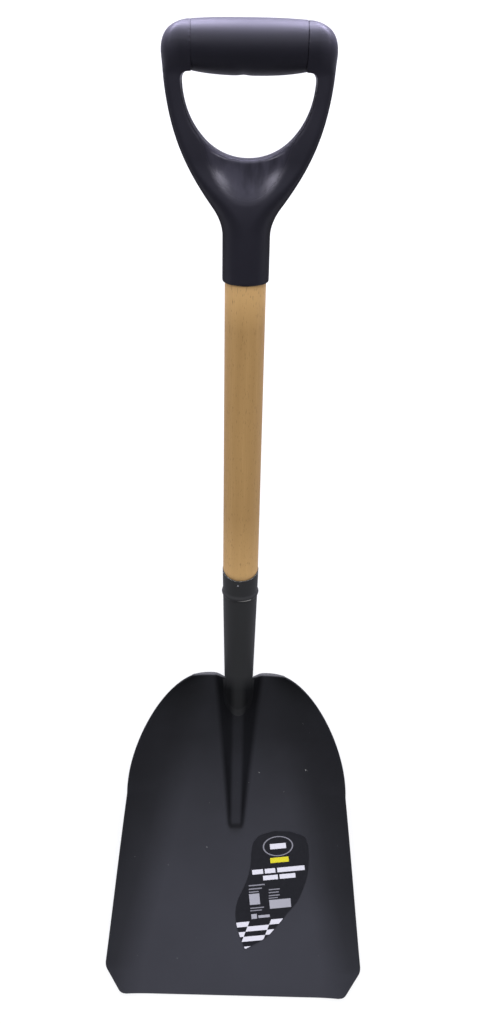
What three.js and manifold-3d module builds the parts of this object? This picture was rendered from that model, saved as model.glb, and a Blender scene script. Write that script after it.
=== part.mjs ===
// A coal shovel: a stamped steel blade, a tapered steel socket, a wooden shaft and a D-grip.
// Millimetres, +Z up. The blade lies on its flat back with its hollow side up and its tip towards -Y.
// The origin is on the blade's back, midway across it, where the back rests on the ground.
import * as THREE from "three";
import { mergeVertices } from "three/addons/utils/BufferGeometryUtils.js";
import Module from "manifold-3d";

// Clearances
const seatGap = 0.3;
const cutOverrun = 5;

// Blade: stations run from its rear edge, station 0, towards the tip
const bladeLength = 361.5;
const bladeWidth = 286.5;
const bladeSheet = 1.8;
const restToTip = 91.5;
const rearEdgeWidth = 106;
const sideStartWidth = 238;
const sideStartStation = 128;
const widestStation = 329.5;
const widestCornerRound = 5;
const tipWidth = 250;
const tipCornerRound = 6;
const rearCurveShares = [
  [0.5, 0.125],
  [1, 0.575],
];

// Dish of the blade
const rearRise = 9;
const rearRiseRun = 90;
const shoulderRise = 8;
const sideRise = 27;
const tipSideRise = 2.5;
const sidePeakStation = 105;
const flatWidthRear = 60;
const flatWidthFront = 210;
const flatShareMost = 0.75;

// Rib down the middle of the blade
const ribLength = 174;
const ribRearWidth = 54;
const ribFrontWidth = 17;
const ribCrestWidth = 9;
const ribRearRise = 11;
const ribFrontRise = 4;
const ribEndRun = 9;

// Saddle: the rib's rear end, wider and higher where the socket's foot sits on it
const saddleCrestWidth = 24;
const saddleCrestRun = 36;
const saddleRise = 5;
const saddleRiseRun = 45;

// Treads: the rear edge turned down on both sides of the socket
const treadInnerWidth = 24;
const treadBendRadius = 1.5;
const treadDepth = 7;
const treadLeastShare = 0.04;
const treadFullnessPower = 0.75;
const treadTurnPower = 1;
const treadDropPower = 2;

// Shaft line: the shared axis of socket, wood and grip, with stations from the blade's rear edge
const lift = THREE.MathUtils.degToRad(28.5);
const axisAboveSheet = 8;

// Socket
const socketRimStation = 142.3;
const socketRimRadius = 18.3;
const socketRimSlant = 4.1;
const socketShoulderRadius = 15.6;
const socketWall = 1.2;
const socketDepthPastShoulder = 42;
const beadBelowRim = 26.7;
const beadHeight = 8;
const beadProud = 1.2;
const seamWidth = 1;

// Rivet through the socket and the wood
const rivetBelowRim = 9.2;
const rivetTurn = THREE.MathUtils.degToRad(-7);
const rivetRadius = 0.9;
const rivetHeadRadius = 1.4;
const rivetHeadHeight = 0.7;

// Wooden shaft
const woodRadius = 17.8;
const woodFootStation = 40;
const woodEdgeRadius = 1.5;
const woodShoulderRun = 3;

// Grip yoke: its runs start at the collar's foot
const collarFootStation = 434.5;
const collarRadius = 20;
const collarFootRound = 1.6;
const collarLength = 37.5;
const boreLength = 53.5;
const flankStartRun = 60.5;
const flankStartHalfWidth = 28;
const armSpread = 66.9;
const armTopRun = 172.5;
const handOpeningFootRun = 98.1;
const handOpeningHalfWidth = 52.5;
const handOpeningCornerRound = 6.5;
const webDepth = 27;
const armDepth = 24;
const armSquareness = 6;
const flankCurveShares = [
  [0.7, 0.34],
  [0.95, 0.585],
];
const openingCurveShares = [
  [0.57, 0],
  [0.98, 0.44],
];

// Thumb hollows, front and back
const hollowRun = 140.5;
const hollowFootRun = 62.5;
const hollowHalfWidth = 42;
const hollowDepth = 6.7;
const hollowBallDepth = 9.5;

// Bar of the grip
const barRun = 178.1;
const barMiddleRadius = 19.75;
const barBulgePower = 2.7;
const barSag = 0.9;
const barSeamRadius = 17.65;
const barSeamHalfSpan = 44;
const barCoreRadius = 10.5;
const barEndRound = 1;
const crownTurn = THREE.MathUtils.degToRad(80);

// Grip pin, driven in from the back of the collar
const pinRun = 20.5;
const pinRadius = 2;
const pinHeadRadius = 3.6;
const pinHeadHeight = 1.4;
const pinDepth = 26;

// Weld beads beside the socket's foot
const weldRadius = 2;
const weldProudShare = 0.35;
const weldRun = 24;

// Label on the right of the blade
const labelWidth = 81;
const labelLength = 133;
const labelSheet = 0.3;
const labelStartStation = 175;
const labelLeftAside = 1.7;

// The label's outline from its round rear end to its pointed end: along, left and right
const labelEdgeShares = [
  [0, 0.52, 0.73],
  [0.03, 0.35, 0.9],
  [0.08, 0.25, 0.965],
  [0.16, 0.21, 0.995],
  [0.26, 0.2, 1],
  [0.38, 0.17, 0.98],
  [0.48, 0.11, 0.93],
  [0.59, 0.03, 0.85],
  [0.69, 0, 0.72],
  [0.8, 0.02, 0.58],
  [0.9, 0.07, 0.43],
  [1, 0.14, 0.16],
];

// Fineness
const roundSides = 32;
const smallRoundSides = 12;
const mergeDistance = 0.001;
const bendSegments = 6;

const wasm = await Module();
wasm.setup();

const shoulderY = bladeLength - restToTip;
const axisHeight = rearRise + bladeSheet + axisAboveSheet;
const rearSlope = (2 * rearRise) / rearRiseRun;
const rightAngle = Math.PI / 2;
const collarTopStation = collarFootStation + collarLength;
const boreEndStation = collarFootStation + boreLength;
const flankStartStation = collarFootStation + flankStartRun;
const armTopStation = collarFootStation + armTopRun;
const handOpeningFoot = collarFootStation + handOpeningFootRun;
const hollowStation = collarFootStation + hollowRun;
const hollowFootStation = collarFootStation + hollowFootRun;
const barStation = collarFootStation + barRun;
const pinStation = collarFootStation + pinRun;

// Helpers for numbers
const mix = (from, to, share) => from + (to - from) * share;
const clampShare = (value) => Math.min(1, Math.max(0, value));
const smooth = (value) => {
  const t = clampShare(value);
  return t * t * (3 - 2 * t);
};
const spread = (from, to, count) =>
  Array.from({ length: count }, (_, i) => mix(from, to, i / count));

// Helpers for solids
function toSolid(geometry) {
  const plain = new THREE.BufferGeometry();
  const source = geometry.index ? geometry.toNonIndexed() : geometry;
  plain.setAttribute("position", source.getAttribute("position"));
  const merged = mergeVertices(plain, mergeDistance);
  return new wasm.Manifold(
    new wasm.Mesh({
      numProp: 3,
      vertProperties: new Float32Array(merged.attributes.position.array),
      triVerts: new Uint32Array(merged.index.array),
    }),
  );
}

function toGeometry(solid) {
  const mesh = solid.getMesh();
  const geometry = new THREE.BufferGeometry();
  const positions = new Float32Array(mesh.numVert * 3);
  for (let i = 0; i < mesh.numVert; i++) {
    const start = i * mesh.numProp;
    positions.set(mesh.vertProperties.subarray(start, start + 3), i * 3);
  }
  geometry.setAttribute("position", new THREE.BufferAttribute(positions, 3));
  geometry.setIndex(new THREE.BufferAttribute(mesh.triVerts, 1));
  const facets = geometry.toNonIndexed();
  facets.computeVertexNormals();
  return facets;
}

// A solid from two sheets of points with the same rows and columns, the top seen from above
function solidBetween(top, bottom) {
  const rows = top.length;
  const columns = top[0].length;
  const positions = [...top.flat(), ...bottom.flat()].flatMap((p) => p.toArray());
  const at = (row, column) => row * columns + column;
  const below = rows * columns;
  const index = [];
  for (let r = 0; r + 1 < rows; r++) {
    for (let c = 0; c + 1 < columns; c++) {
      const [a, b] = [at(r, c), at(r, c + 1)];
      const [d, e] = [at(r + 1, c), at(r + 1, c + 1)];
      index.push(a, d, b, b, d, e);
      index.push(below + a, below + b, below + d, below + b, below + e, below + d);
    }
  }
  const wall = (a, b) => index.push(a, b, below + a, b, below + b, below + a);
  for (let c = 0; c + 1 < columns; c++) {
    wall(at(0, c), at(0, c + 1));
    wall(at(rows - 1, c + 1), at(rows - 1, c));
  }
  for (let r = 0; r + 1 < rows; r++) {
    wall(at(r + 1, 0), at(r, 0));
    wall(at(r, columns - 1), at(r + 1, columns - 1));
  }
  const geometry = new THREE.BufferGeometry();
  geometry.setAttribute("position", new THREE.Float32BufferAttribute(positions, 3));
  geometry.setIndex(index);
  return geometry;
}

// A solid from closed rings of points, one above the other, each ring seen from above anticlockwise
function stacked(rings) {
  const count = rings[0].length;
  const positions = rings.flat().flatMap((point) => point.toArray());
  const index = [];
  for (let r = 0; r + 1 < rings.length; r++) {
    for (let i = 0; i < count; i++) {
      const next = (i + 1) % count;
      const [a, b] = [r * count + i, r * count + next];
      index.push(a, b, a + count, b, b + count, a + count);
    }
  }
  const last = (rings.length - 1) * count;
  for (let i = 1; i + 1 < count; i++) {
    index.push(0, i + 1, i, last, last + i, last + i + 1);
  }
  const geometry = new THREE.BufferGeometry();
  geometry.setAttribute("position", new THREE.Float32BufferAttribute(positions, 3));
  geometry.setIndex(index);
  return geometry;
}

// A closed lathe about Z from [radius, height] pairs in rising order along the outside
function turned(profile, sides = roundSides) {
  const points = profile.map(([radius, height]) => new THREE.Vector2(radius, height));
  const geometry = new THREE.LatheGeometry(points, sides);
  geometry.rotateX(rightAngle);
  return geometry;
}

// Materials
const paint = (color, roughness, metalness) =>
  new THREE.MeshStandardMaterial({ color, roughness, metalness });
const bladePaint = paint(0x3b3c43, 0.45, 0.3);
const socketPaint = paint(0x2d2d2d, 0.4, 0.3);
const lightWood = paint(0xa68556, 0.6, 0);
const blackPlastic = paint(0x24232c, 0.35, 0);
const brightSteel = paint(0xb8b8b8, 0.3, 0.9);
const labelVinyl = paint(0x17181b, 0.4, 0);

// A rounded corner: a curve from a reach before the corner to the same reach past it
function roundedCorner(before, corner, after, reach) {
  const towards = (end) => end.clone().sub(corner).setLength(reach).add(corner);
  const curve = new THREE.QuadraticBezierCurve(towards(before), corner, towards(after));
  return curve.getPoints(bendSegments);
}

// Outline of the blade as half-width against station
function bladeOutline() {
  const rear = new THREE.Vector2(rearEdgeWidth / 2, 0);
  const side = new THREE.Vector2(sideStartWidth / 2, sideStartStation);
  const widest = new THREE.Vector2(bladeWidth / 2, widestStation);
  const tip = new THREE.Vector2(tipWidth / 2, bladeLength);
  const tipMiddle = new THREE.Vector2(0, bladeLength);
  const [first, second] = rearCurveShares.map(
    ([across, along]) =>
      new THREE.Vector2(mix(rear.x, side.x, across), mix(rear.y, side.y, along)),
  );
  return [
    ...new THREE.CubicBezierCurve(rear, first, second, side).getPoints(16),
    ...roundedCorner(side, widest, tip, widestCornerRound),
    ...roundedCorner(widest, tip, tipMiddle, tipCornerRound),
  ];
}

const outline = bladeOutline();

function halfWidthAt(station) {
  const last = outline.findIndex((point) => point.y >= station);
  if (last < 1) return outline[0].x;
  const [a, b] = [outline[last - 1], outline[last]];
  return mix(a.x, b.x, (station - a.y) / (b.y - a.y));
}

// Height of the blade's back above the ground at a place on it
function rearLiftAt(station) {
  return rearRise * clampShare(1 - station / rearRiseRun) ** 2;
}

function sideLiftAt(across, station) {
  const edge = halfWidthAt(station);
  const flatWidth = mix(flatWidthRear, flatWidthFront, station / widestStation);
  const flat = Math.min(flatWidth / 2, flatShareMost * edge);
  const climbing = mix(shoulderRise, sideRise, smooth(station / sidePeakStation));
  const falling = (station - sidePeakStation) / (bladeLength - sidePeakStation);
  const rise = mix(climbing, tipSideRise, smooth(falling));
  return rise * clampShare((Math.abs(across) - flat) / (edge - flat)) ** 2;
}

function ribHalfWidthAt(station) {
  return mix(ribRearWidth, ribFrontWidth, clampShare(station / ribLength)) / 2;
}

function crestHalfWidthAt(station) {
  return mix(saddleCrestWidth, ribCrestWidth, smooth(station / saddleCrestRun)) / 2;
}

function ribLiftAt(across, station) {
  const half = ribHalfWidthAt(station);
  const flank = (half - Math.abs(across)) / (half - crestHalfWidthAt(station));
  const end = 1 - smooth((station - ribLength + ribEndRun) / ribEndRun);
  const saddle = saddleRise * clampShare(1 - station / saddleRiseRun) ** 2;
  const rise = mix(ribRearRise, ribFrontRise, clampShare(station / ribLength)) + saddle;
  return rise * end * smooth(flank);
}

function backHeightAt(across, station) {
  return rearLiftAt(station) + sideLiftAt(across, station) + ribLiftAt(across, station);
}

// Places across the blade at one station: close together on the rib, wider on the pan
const ribColumnShares = [0, 1 / 4, 1 / 2, 3 / 4, 1];
const panColumnShares = [0.2, 0.36, 0.44, 0.51, 0.58, 0.65, 0.72, 0.79, 0.86, 0.93, 1];

function placesAcross(station) {
  const rib = ribHalfWidthAt(station);
  const edge = halfWidthAt(station);
  const right = [
    ...ribColumnShares.map((share) => mix(crestHalfWidthAt(station), rib, share)),
    ...panColumnShares.map((share) => mix(rib, edge, share)),
  ];
  return [...right.map((x) => -x).reverse(), 0, ...right];
}

function bladeStations() {
  const ribEndStart = ribLength - ribEndRun;
  const widestStart = widestStation - widestCornerRound;
  const widestEnd = widestStation + widestCornerRound;
  const tipStart = bladeLength - tipCornerRound;
  return [
    ...spread(0, sideStartStation, 13),
    ...spread(sideStartStation, ribEndStart, 3),
    ...spread(ribEndStart, ribLength, 3),
    ...spread(ribLength, widestStart, 6),
    ...spread(widestStart, widestEnd, 4),
    ...spread(widestEnd, tipStart, 2),
    ...spread(tipStart, bladeLength, 3),
    bladeLength,
  ];
}

// How deep the turned edge is at a place across the blade, as a share of its depth at the middle
function treadDepthShareAt(across) {
  const inner = treadInnerWidth / 2;
  const along = clampShare((Math.abs(across) - inner) / (rearEdgeWidth / 2 - inner));
  return Math.max(treadLeastShare, Math.sin(Math.PI * along) ** treadFullnessPower);
}

// The turned edge's points at one place across, from its free end back to the bend's start
function treadPoints(across) {
  const depthShare = treadDepthShareAt(across);
  const startHeight = backHeightAt(across, 0) + bladeSheet / 2;
  const startAngle = Math.atan(rearSlope);
  const endAngle = mix(startAngle, -rightAngle, depthShare ** treadTurnPower);
  const drop = treadDepth * depthShare ** treadDropPower;
  const onBend = (angle) =>
    new THREE.Vector3(
      across,
      shoulderY + treadBendRadius * (Math.sin(startAngle) - Math.sin(angle)),
      startHeight + treadBendRadius * (Math.cos(angle) - Math.cos(startAngle)),
    );
  const bend = [1, 2 / 3, 1 / 3].map((part) => onBend(mix(startAngle, endAngle, part)));
  const direction = new THREE.Vector3(0, Math.cos(endAngle), Math.sin(endAngle));
  return [bend[0].clone().addScaledVector(direction, drop), ...bend];
}

// The middle of the sheet as rows of points, from the treads' free edges to the tip
function bladeMiddle() {
  const treads = placesAcross(0).map(treadPoints);
  const treadRows = treads[0].map((_, row) => treads.map((points) => points[row]));
  const plateRows = bladeStations().map((station) =>
    placesAcross(station).map(
      (across) =>
        new THREE.Vector3(
          across,
          shoulderY - station,
          backHeightAt(across, station) + bladeSheet / 2,
        ),
    ),
  );
  return [...treadRows, ...plateRows];
}

function sheetNormals(rows) {
  const lastRow = rows.length - 1;
  const lastColumn = rows[0].length - 1;
  return rows.map((row, r) =>
    row.map((_, c) => {
      const across = row[Math.min(c + 1, lastColumn)].clone().sub(row[Math.max(c - 1, 0)]);
      const along = rows[Math.max(r - 1, 0)][c].clone().sub(rows[Math.min(r + 1, lastRow)][c]);
      return across.cross(along).normalize();
    }),
  );
}

function makeBlade() {
  const middle = bladeMiddle();
  const normals = sheetNormals(middle);
  const offset = (distance) =>
    middle.map((row, r) =>
      row.map((point, c) => point.clone().addScaledVector(normals[r][c], distance)),
    );
  return solidBetween(offset(bladeSheet / 2), offset(-bladeSheet / 2));
}

// How much longer the blade's surface is than its plan, across the rib's flank
function steepnessAt(across, station) {
  const reach = bladeSheet / 2;
  const climb = backHeightAt(across + reach, station) - backHeightAt(across - reach, station);
  return Math.hypot(1, climb / (2 * reach));
}

// Everything at or under the blade's upper face near the shaft line, raised by a gap
function underBlade(gap) {
  const behindEdge = 2 * treadBendRadius;
  const half = ribRearWidth / 2;
  const columns = 36;
  const across = Array.from({ length: columns + 1 }, (_, i) => mix(-half, half, i / columns));
  const stations = [-behindEdge, -gap, 0, ...spread(0, 2 * socketDepthPastShoulder, 24).slice(1)];
  const top = stations.map((station) =>
    across.map((x) => {
      const onPlate = Math.max(0, station);
      const middle = backHeightAt(x, onPlate) + bladeSheet / 2;
      const pastEdge = (onPlate - station) * rearSlope;
      const above = (bladeSheet / 2 + gap) * steepnessAt(x, onPlate);
      return new THREE.Vector3(x, shoulderY - station, middle + pastEdge + above);
    }),
  );
  const bottom = top.map((row) =>
    row.map((point) => point.clone().setZ(-socketDepthPastShoulder)),
  );
  return toSolid(solidBetween(top, bottom));
}

// Shaft line: turns geometry made about +Z, with height as station, into its place
function ontoShaftLine(geometry) {
  geometry.rotateX(lift - rightAngle);
  geometry.translate(0, shoulderY, axisHeight);
  return geometry;
}

function socketRadiusAt(station) {
  return mix(socketShoulderRadius, socketRimRadius, station / socketRimStation);
}

function socketProfile() {
  const foot = -socketDepthPastShoulder;
  const bead = socketRimStation - beadBelowRim;
  const beadShares = [-1, -0.5, 0, 0.5, 1];
  const beadPoints = beadShares.map((share) => {
    const station = bead + (share * beadHeight) / 2;
    const proud = beadProud * Math.cos((share * Math.PI) / 2) ** 2;
    return [socketRadiusAt(station) + proud, station];
  });
  const outside = [
    [socketRadiusAt(foot), foot],
    ...beadPoints,
    [socketRimRadius, socketRimStation],
  ];
  const inside = outside.map(([radius, station]) => [radius - socketWall, station]).reverse();
  return [...outside, ...inside, outside[0]];
}

// Slants the tube's rim, so that it stands higher at the back than at the front
function slantRim(tube) {
  const position = tube.getAttribute("position");
  for (let i = 0; i < position.count; i++) {
    if (position.getZ(i) < socketRimStation - seatGap) continue;
    const slant = (position.getY(i) / socketRimRadius) * socketRimSlant;
    position.setZ(i, position.getZ(i) + slant);
  }
  return tube;
}

function makeSocket() {
  const tube = toSolid(ontoShaftLine(slantRim(turned(socketProfile()))));
  const seamLength = socketRimStation + cutOverrun;
  const seam = new THREE.BoxGeometry(seamWidth, socketRimRadius, seamLength);
  seam.translate(0, socketRimRadius, seamLength / 2);
  const rivetHole = rivetShank(seatGap);
  const cut = tube
    .subtract(underBlade(seatGap))
    .subtract(toSolid(ontoShaftLine(seam)))
    .subtract(toSolid(rivetHole));
  return toGeometry(cut);
}

// Rivet: a shank across the shaft line with a low domed head on each side
function rivetShank(extraRadius) {
  const reach = socketRimRadius + cutOverrun;
  const shank = turned(
    [
      [0, -reach],
      [rivetRadius + extraRadius, -reach],
      [rivetRadius + extraRadius, reach],
      [0, reach],
    ],
    smallRoundSides,
  );
  shank.rotateX(rightAngle);
  shank.rotateZ(rivetTurn);
  shank.translate(0, 0, socketRimStation - rivetBelowRim);
  return ontoShaftLine(shank);
}

function makeRivet() {
  const seat = socketRimRadius + seatGap;
  const end = seat + rivetHeadHeight;
  const domeShares = [
    [1, 0],
    [0.92, 0.5],
    [0.6, 0.88],
    [0, 1],
  ];
  const head = domeShares.map(([across, along]) => [
    rivetHeadRadius * across,
    mix(seat, end, along),
  ]);
  const foot = head.map(([radius, height]) => [radius, -height]).reverse();
  const profile = [...foot, [rivetRadius, -seat], [rivetRadius, seat], ...head];
  const rivet = turned(profile, smallRoundSides);
  rivet.rotateX(rightAngle);
  rivet.rotateZ(rivetTurn);
  rivet.translate(0, 0, socketRimStation - rivetBelowRim);
  return ontoShaftLine(rivet);
}

// Wooden shaft: full round in the open, eased into the socket and into the collar
function makeWood() {
  const insideSocket = (station) => socketRadiusAt(station) - socketWall - seatGap;
  const headStation = boreEndStation - seatGap;
  const shoulderStation = socketRimStation + socketRimSlant;
  const stick = turned([
    [0, woodFootStation],
    [insideSocket(woodFootStation) - woodEdgeRadius, woodFootStation],
    [insideSocket(woodFootStation), woodFootStation + woodEdgeRadius],
    [insideSocket(socketRimStation), shoulderStation],
    [woodRadius, shoulderStation + woodShoulderRun],
    [woodRadius, headStation - woodEdgeRadius],
    [woodRadius - woodEdgeRadius, headStation],
    [0, headStation],
  ]);
  const solid = toSolid(ontoShaftLine(stick))
    .subtract(toSolid(rivetShank(seatGap)))
    .subtract(toSolid(makePinShape(seatGap)));
  return toGeometry(solid);
}

// Outline of the yoke as half-width against station
function yokeOutline() {
  const foot = collarFootStation;
  const neck = new THREE.Vector2(collarRadius, collarTopStation);
  const neckBend = new THREE.Vector2(collarRadius, mix(collarTopStation, flankStartStation, 1 / 2));
  const flank = new THREE.Vector2(flankStartHalfWidth, flankStartStation);
  const shoulder = new THREE.Vector2(armSpread, armTopStation);
  const crown = barStation + barSeamRadius * Math.sin(crownTurn);
  const [lower, upper] = flankCurveShares.map(
    ([across, along]) =>
      new THREE.Vector2(mix(flank.x, shoulder.x, across), mix(flank.y, shoulder.y, along)),
  );
  const top = new THREE.Vector2(barSeamHalfSpan + barEndRound, crown);
  const corner = new THREE.Vector2(armSpread, crown);
  return [
    new THREE.Vector2(collarRadius - collarFootRound, foot),
    new THREE.Vector2(collarRadius, foot + collarFootRound),
    ...new THREE.QuadraticBezierCurve(neck, neckBend, flank).getPoints(4),
    ...new THREE.CubicBezierCurve(flank, lower, upper, shoulder).getPoints(9).slice(1),
    ...new THREE.QuadraticBezierCurve(shoulder, corner, top).getPoints(6).slice(1),
  ];
}

// Half of the yoke's depth: round at the collar, thinner up the arms, full again round the bar
function yokeDepthAt(station, halfWidth) {
  if (station <= collarTopStation) return Math.min(collarRadius, halfWidth);
  const web = (station - collarTopStation) / (handOpeningFoot - collarTopStation);
  const arm = (station - handOpeningFoot) / (hollowStation - handOpeningFoot);
  const body = mix(mix(collarRadius, webDepth / 2, smooth(web)), armDepth / 2, smooth(arm));
  const bar = Math.sqrt(Math.max(0, barSeamRadius ** 2 - (station - barStation) ** 2));
  return station > barStation ? bar : Math.max(body, bar);
}

// The yoke's body: sections that turn from round at the collar to flat and wide at the arms
function yokeBody() {
  const rows = yokeOutline().map(({ x: halfWidth, y: station }) => {
    const depth = yokeDepthAt(station, halfWidth);
    const flatness = smooth((station - collarTopStation) / (hollowStation - collarTopStation));
    const power = 2 / mix(2, armSquareness, flatness);
    return Array.from({ length: roundSides }, (_, i) => {
      const angle = (i / roundSides) * 2 * Math.PI;
      const [cos, sin] = [Math.cos(angle), Math.sin(angle)];
      return new THREE.Vector3(
        halfWidth * Math.sign(cos) * Math.abs(cos) ** power,
        depth * Math.sign(sin) * Math.abs(sin) ** power,
        station,
      );
    });
  });
  return toSolid(stacked(rows));
}

// The hand opening in the same plane, from its round foot up to the bar
function openingShape() {
  const top = barStation - barSeamRadius;
  const half = handOpeningHalfWidth;
  const sideTop = top - handOpeningCornerRound;
  const [lower, upper] = openingCurveShares.map(([across, along]) => [
    half * across,
    mix(handOpeningFoot, sideTop, along),
  ]);
  const shape = new THREE.Shape();
  shape.moveTo(0, handOpeningFoot);
  shape.bezierCurveTo(...lower, ...upper, half, sideTop);
  shape.quadraticCurveTo(half, top, half - handOpeningCornerRound, top);
  shape.lineTo(-half + handOpeningCornerRound, top);
  shape.quadraticCurveTo(-half, top, -half, sideTop);
  shape.bezierCurveTo(-upper[0], upper[1], -lower[0], lower[1], 0, handOpeningFoot);
  return shape;
}

function openingSolid() {
  const depth = 3 * collarRadius;
  const geometry = new THREE.ExtrudeGeometry(openingShape(), {
    depth,
    bevelEnabled: false,
    curveSegments: 2 * bendSegments,
  });
  geometry.translate(0, 0, -depth / 2);
  geometry.rotateX(rightAngle);
  return toSolid(geometry);
}

function boreSolid() {
  const radius = woodRadius + seatGap;
  return toSolid(
    turned([
      [0, collarFootStation - cutOverrun],
      [radius, collarFootStation - cutOverrun],
      [radius, boreEndStation - woodEdgeRadius],
      [radius - woodEdgeRadius, boreEndStation],
      [0, boreEndStation],
    ]),
  );
}

// How full the bar is at a place across it, from 1 at its middle to 0 at the yoke
function barFullnessAt(across) {
  return 1 - clampShare(Math.abs(across) / barSeamHalfSpan) ** barBulgePower;
}

function alongBar(geometry) {
  geometry.rotateY(rightAngle);
  geometry.translate(0, 0, barStation);
  return geometry;
}

function coreSolid() {
  const reach = barSeamHalfSpan + cutOverrun;
  return toSolid(
    alongBar(
      turned([
        [0, -reach],
        [barCoreRadius, -reach],
        [barCoreRadius, reach],
        [0, reach],
      ]),
    ),
  );
}

function sleeveSpaceSolid() {
  const reach = barSeamHalfSpan;
  const radius = barMiddleRadius + cutOverrun;
  return toSolid(
    alongBar(
      turned([
        [0, -reach],
        [radius, -reach],
        [radius, reach],
        [0, reach],
      ]),
    ),
  );
}

// A thumb hollow's cutter: a squashed ball with its middle in front of the yoke's face
function hollowSolid(side) {
  const proud = hollowBallDepth - hollowDepth;
  const faceShare = Math.sqrt(1 - (proud / hollowBallDepth) ** 2);
  const halfHeight = (hollowStation - hollowFootStation) / faceShare;
  const ball = new THREE.SphereGeometry(1, roundSides, roundSides / 2);
  ball.scale(hollowHalfWidth / faceShare, hollowBallDepth, halfHeight);
  ball.translate(0, side * (armDepth / 2 + proud), hollowStation);
  return toSolid(ball);
}

function makePinShape(extraRadius) {
  const seat = collarRadius + seatGap;
  const radius = pinRadius + extraRadius;
  const pin = turned(
    [
      [0, seat - pinDepth - extraRadius],
      [radius, seat - pinDepth - extraRadius],
      [radius, seat],
      [pinHeadRadius, seat],
      [pinHeadRadius, seat + pinHeadHeight],
      [0, seat + pinHeadHeight],
    ],
    smallRoundSides,
  );
  pin.rotateX(-rightAngle);
  pin.translate(0, 0, pinStation);
  return ontoShaftLine(pin);
}

function makeYoke() {
  let yoke = yokeBody()
    .subtract(openingSolid())
    .subtract(sleeveSpaceSolid())
    .add(coreSolid())
    .subtract(boreSolid());
  for (const side of [1, -1]) yoke = yoke.subtract(hollowSolid(side));
  const placed = toSolid(ontoShaftLine(toGeometry(yoke)));
  return toGeometry(placed.subtract(toSolid(makePinShape(seatGap))));
}

// The sleeve bulges more on the fingers' side, so its skin is shifted towards the hand opening
function makeSleeve() {
  const end = barSeamHalfSpan - seatGap;
  const bore = barCoreRadius + seatGap;
  const shares = [-1, -0.85, -0.7, -0.5, -0.25, 0, 0.25, 0.5, 0.7, 0.85, 1];
  const outside = shares.map((share) => [
    mix(barSeamRadius, barMiddleRadius, barFullnessAt(share * end)),
    share * end,
  ]);
  const sleeve = turned([[bore, -end], ...outside, [bore, end], [bore, -end]]);
  const position = sleeve.getAttribute("position");
  for (let i = 0; i < position.count; i++) {
    const [x, y, z] = [position.getX(i), position.getY(i), position.getZ(i)];
    if (Math.hypot(x, y) > bore + seatGap) position.setX(i, x + barSag * barFullnessAt(z));
  }
  return ontoShaftLine(alongBar(sleeve));
}

// Welds: one bead down each side of the socket's foot, in the corner it makes with the rib
function weldPath(side) {
  const stations = [...spread(0, weldRun, 6), weldRun];
  const proud = weldRadius * weldProudShare;
  return stations.map((station) => {
    const tube = socketRadiusAt(-station / Math.cos(lift)) + proud;
    const centreHeight = axisHeight - station * Math.tan(lift);
    const floorAt = (x) => backHeightAt(x, station) + bladeSheet + proud;
    let across = tube;
    for (let turn = 0; turn < 12; turn++) {
      const rise = (floorAt(across) - centreHeight) * Math.cos(lift);
      across = mix(across, Math.sqrt(Math.max(0, tube ** 2 - rise ** 2)), 1 / 2);
    }
    return new THREE.Vector3(side * across, shoulderY - station, floorAt(across));
  });
}

function socketSpace(gap) {
  const ends = [-2 * socketDepthPastShoulder, socketRimStation];
  const [foot, rim] = ends.map((station) => [socketRadiusAt(station) + gap, station]);
  return toSolid(ontoShaftLine(turned([[0, foot[1]], foot, rim, [0, rim[1]]])));
}

function makeWeld(side) {
  const section = new THREE.Shape();
  section.absarc(0, 0, weldRadius, 0, 2 * Math.PI);
  const points = weldPath(side);
  const bead = new THREE.ExtrudeGeometry(section, {
    steps: 2 * points.length,
    bevelEnabled: false,
    curveSegments: 5,
    extrudePath: new THREE.CatmullRomCurve3(points),
  });
  return toGeometry(
    toSolid(bead).subtract(underBlade(seatGap)).subtract(socketSpace(seatGap)),
  );
}

// Label: a thin die-cut sheet that follows the blade's upper face
function makeLabel() {
  const columnShares = [0, 0.25, 0.5, 0.7, 0.85, 1];
  const sheetAt = (height) =>
    labelEdgeShares.map(([along, left, right]) =>
      columnShares.map((share) => {
        const across = labelLeftAside + labelWidth * mix(left, right, share);
        const station = labelStartStation + labelLength * along;
        const top = backHeightAt(across, station) + bladeSheet + seatGap + height;
        return new THREE.Vector3(across, shoulderY - station, top);
      }),
    );
  return solidBetween(sheetAt(labelSheet), sheetAt(0));
}

// Assembly
const group = new THREE.Group();

function place(name, geometry, material) {
  const mesh = new THREE.Mesh(geometry, material);
  mesh.name = name;
  group.add(mesh);
}

place("blade", makeBlade(), bladePaint);
place("socket", makeSocket(), socketPaint);
place("weld_left", makeWeld(-1), socketPaint.clone());
place("weld_right", makeWeld(1), socketPaint.clone());
place("socket_rivet", makeRivet(), brightSteel);
place("handle_shaft", makeWood(), lightWood);
place("grip_yoke", makeYoke(), blackPlastic);
place("grip_sleeve", makeSleeve(), blackPlastic.clone());
place("grip_pin", makePinShape(0), brightSteel.clone());
place("blade_label", makeLabel(), labelVinyl);

export default group;
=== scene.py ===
import math
from functools import reduce

import bmesh
import bpy
import numpy as np
from mathutils import Color, Matrix, Vector


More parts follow.
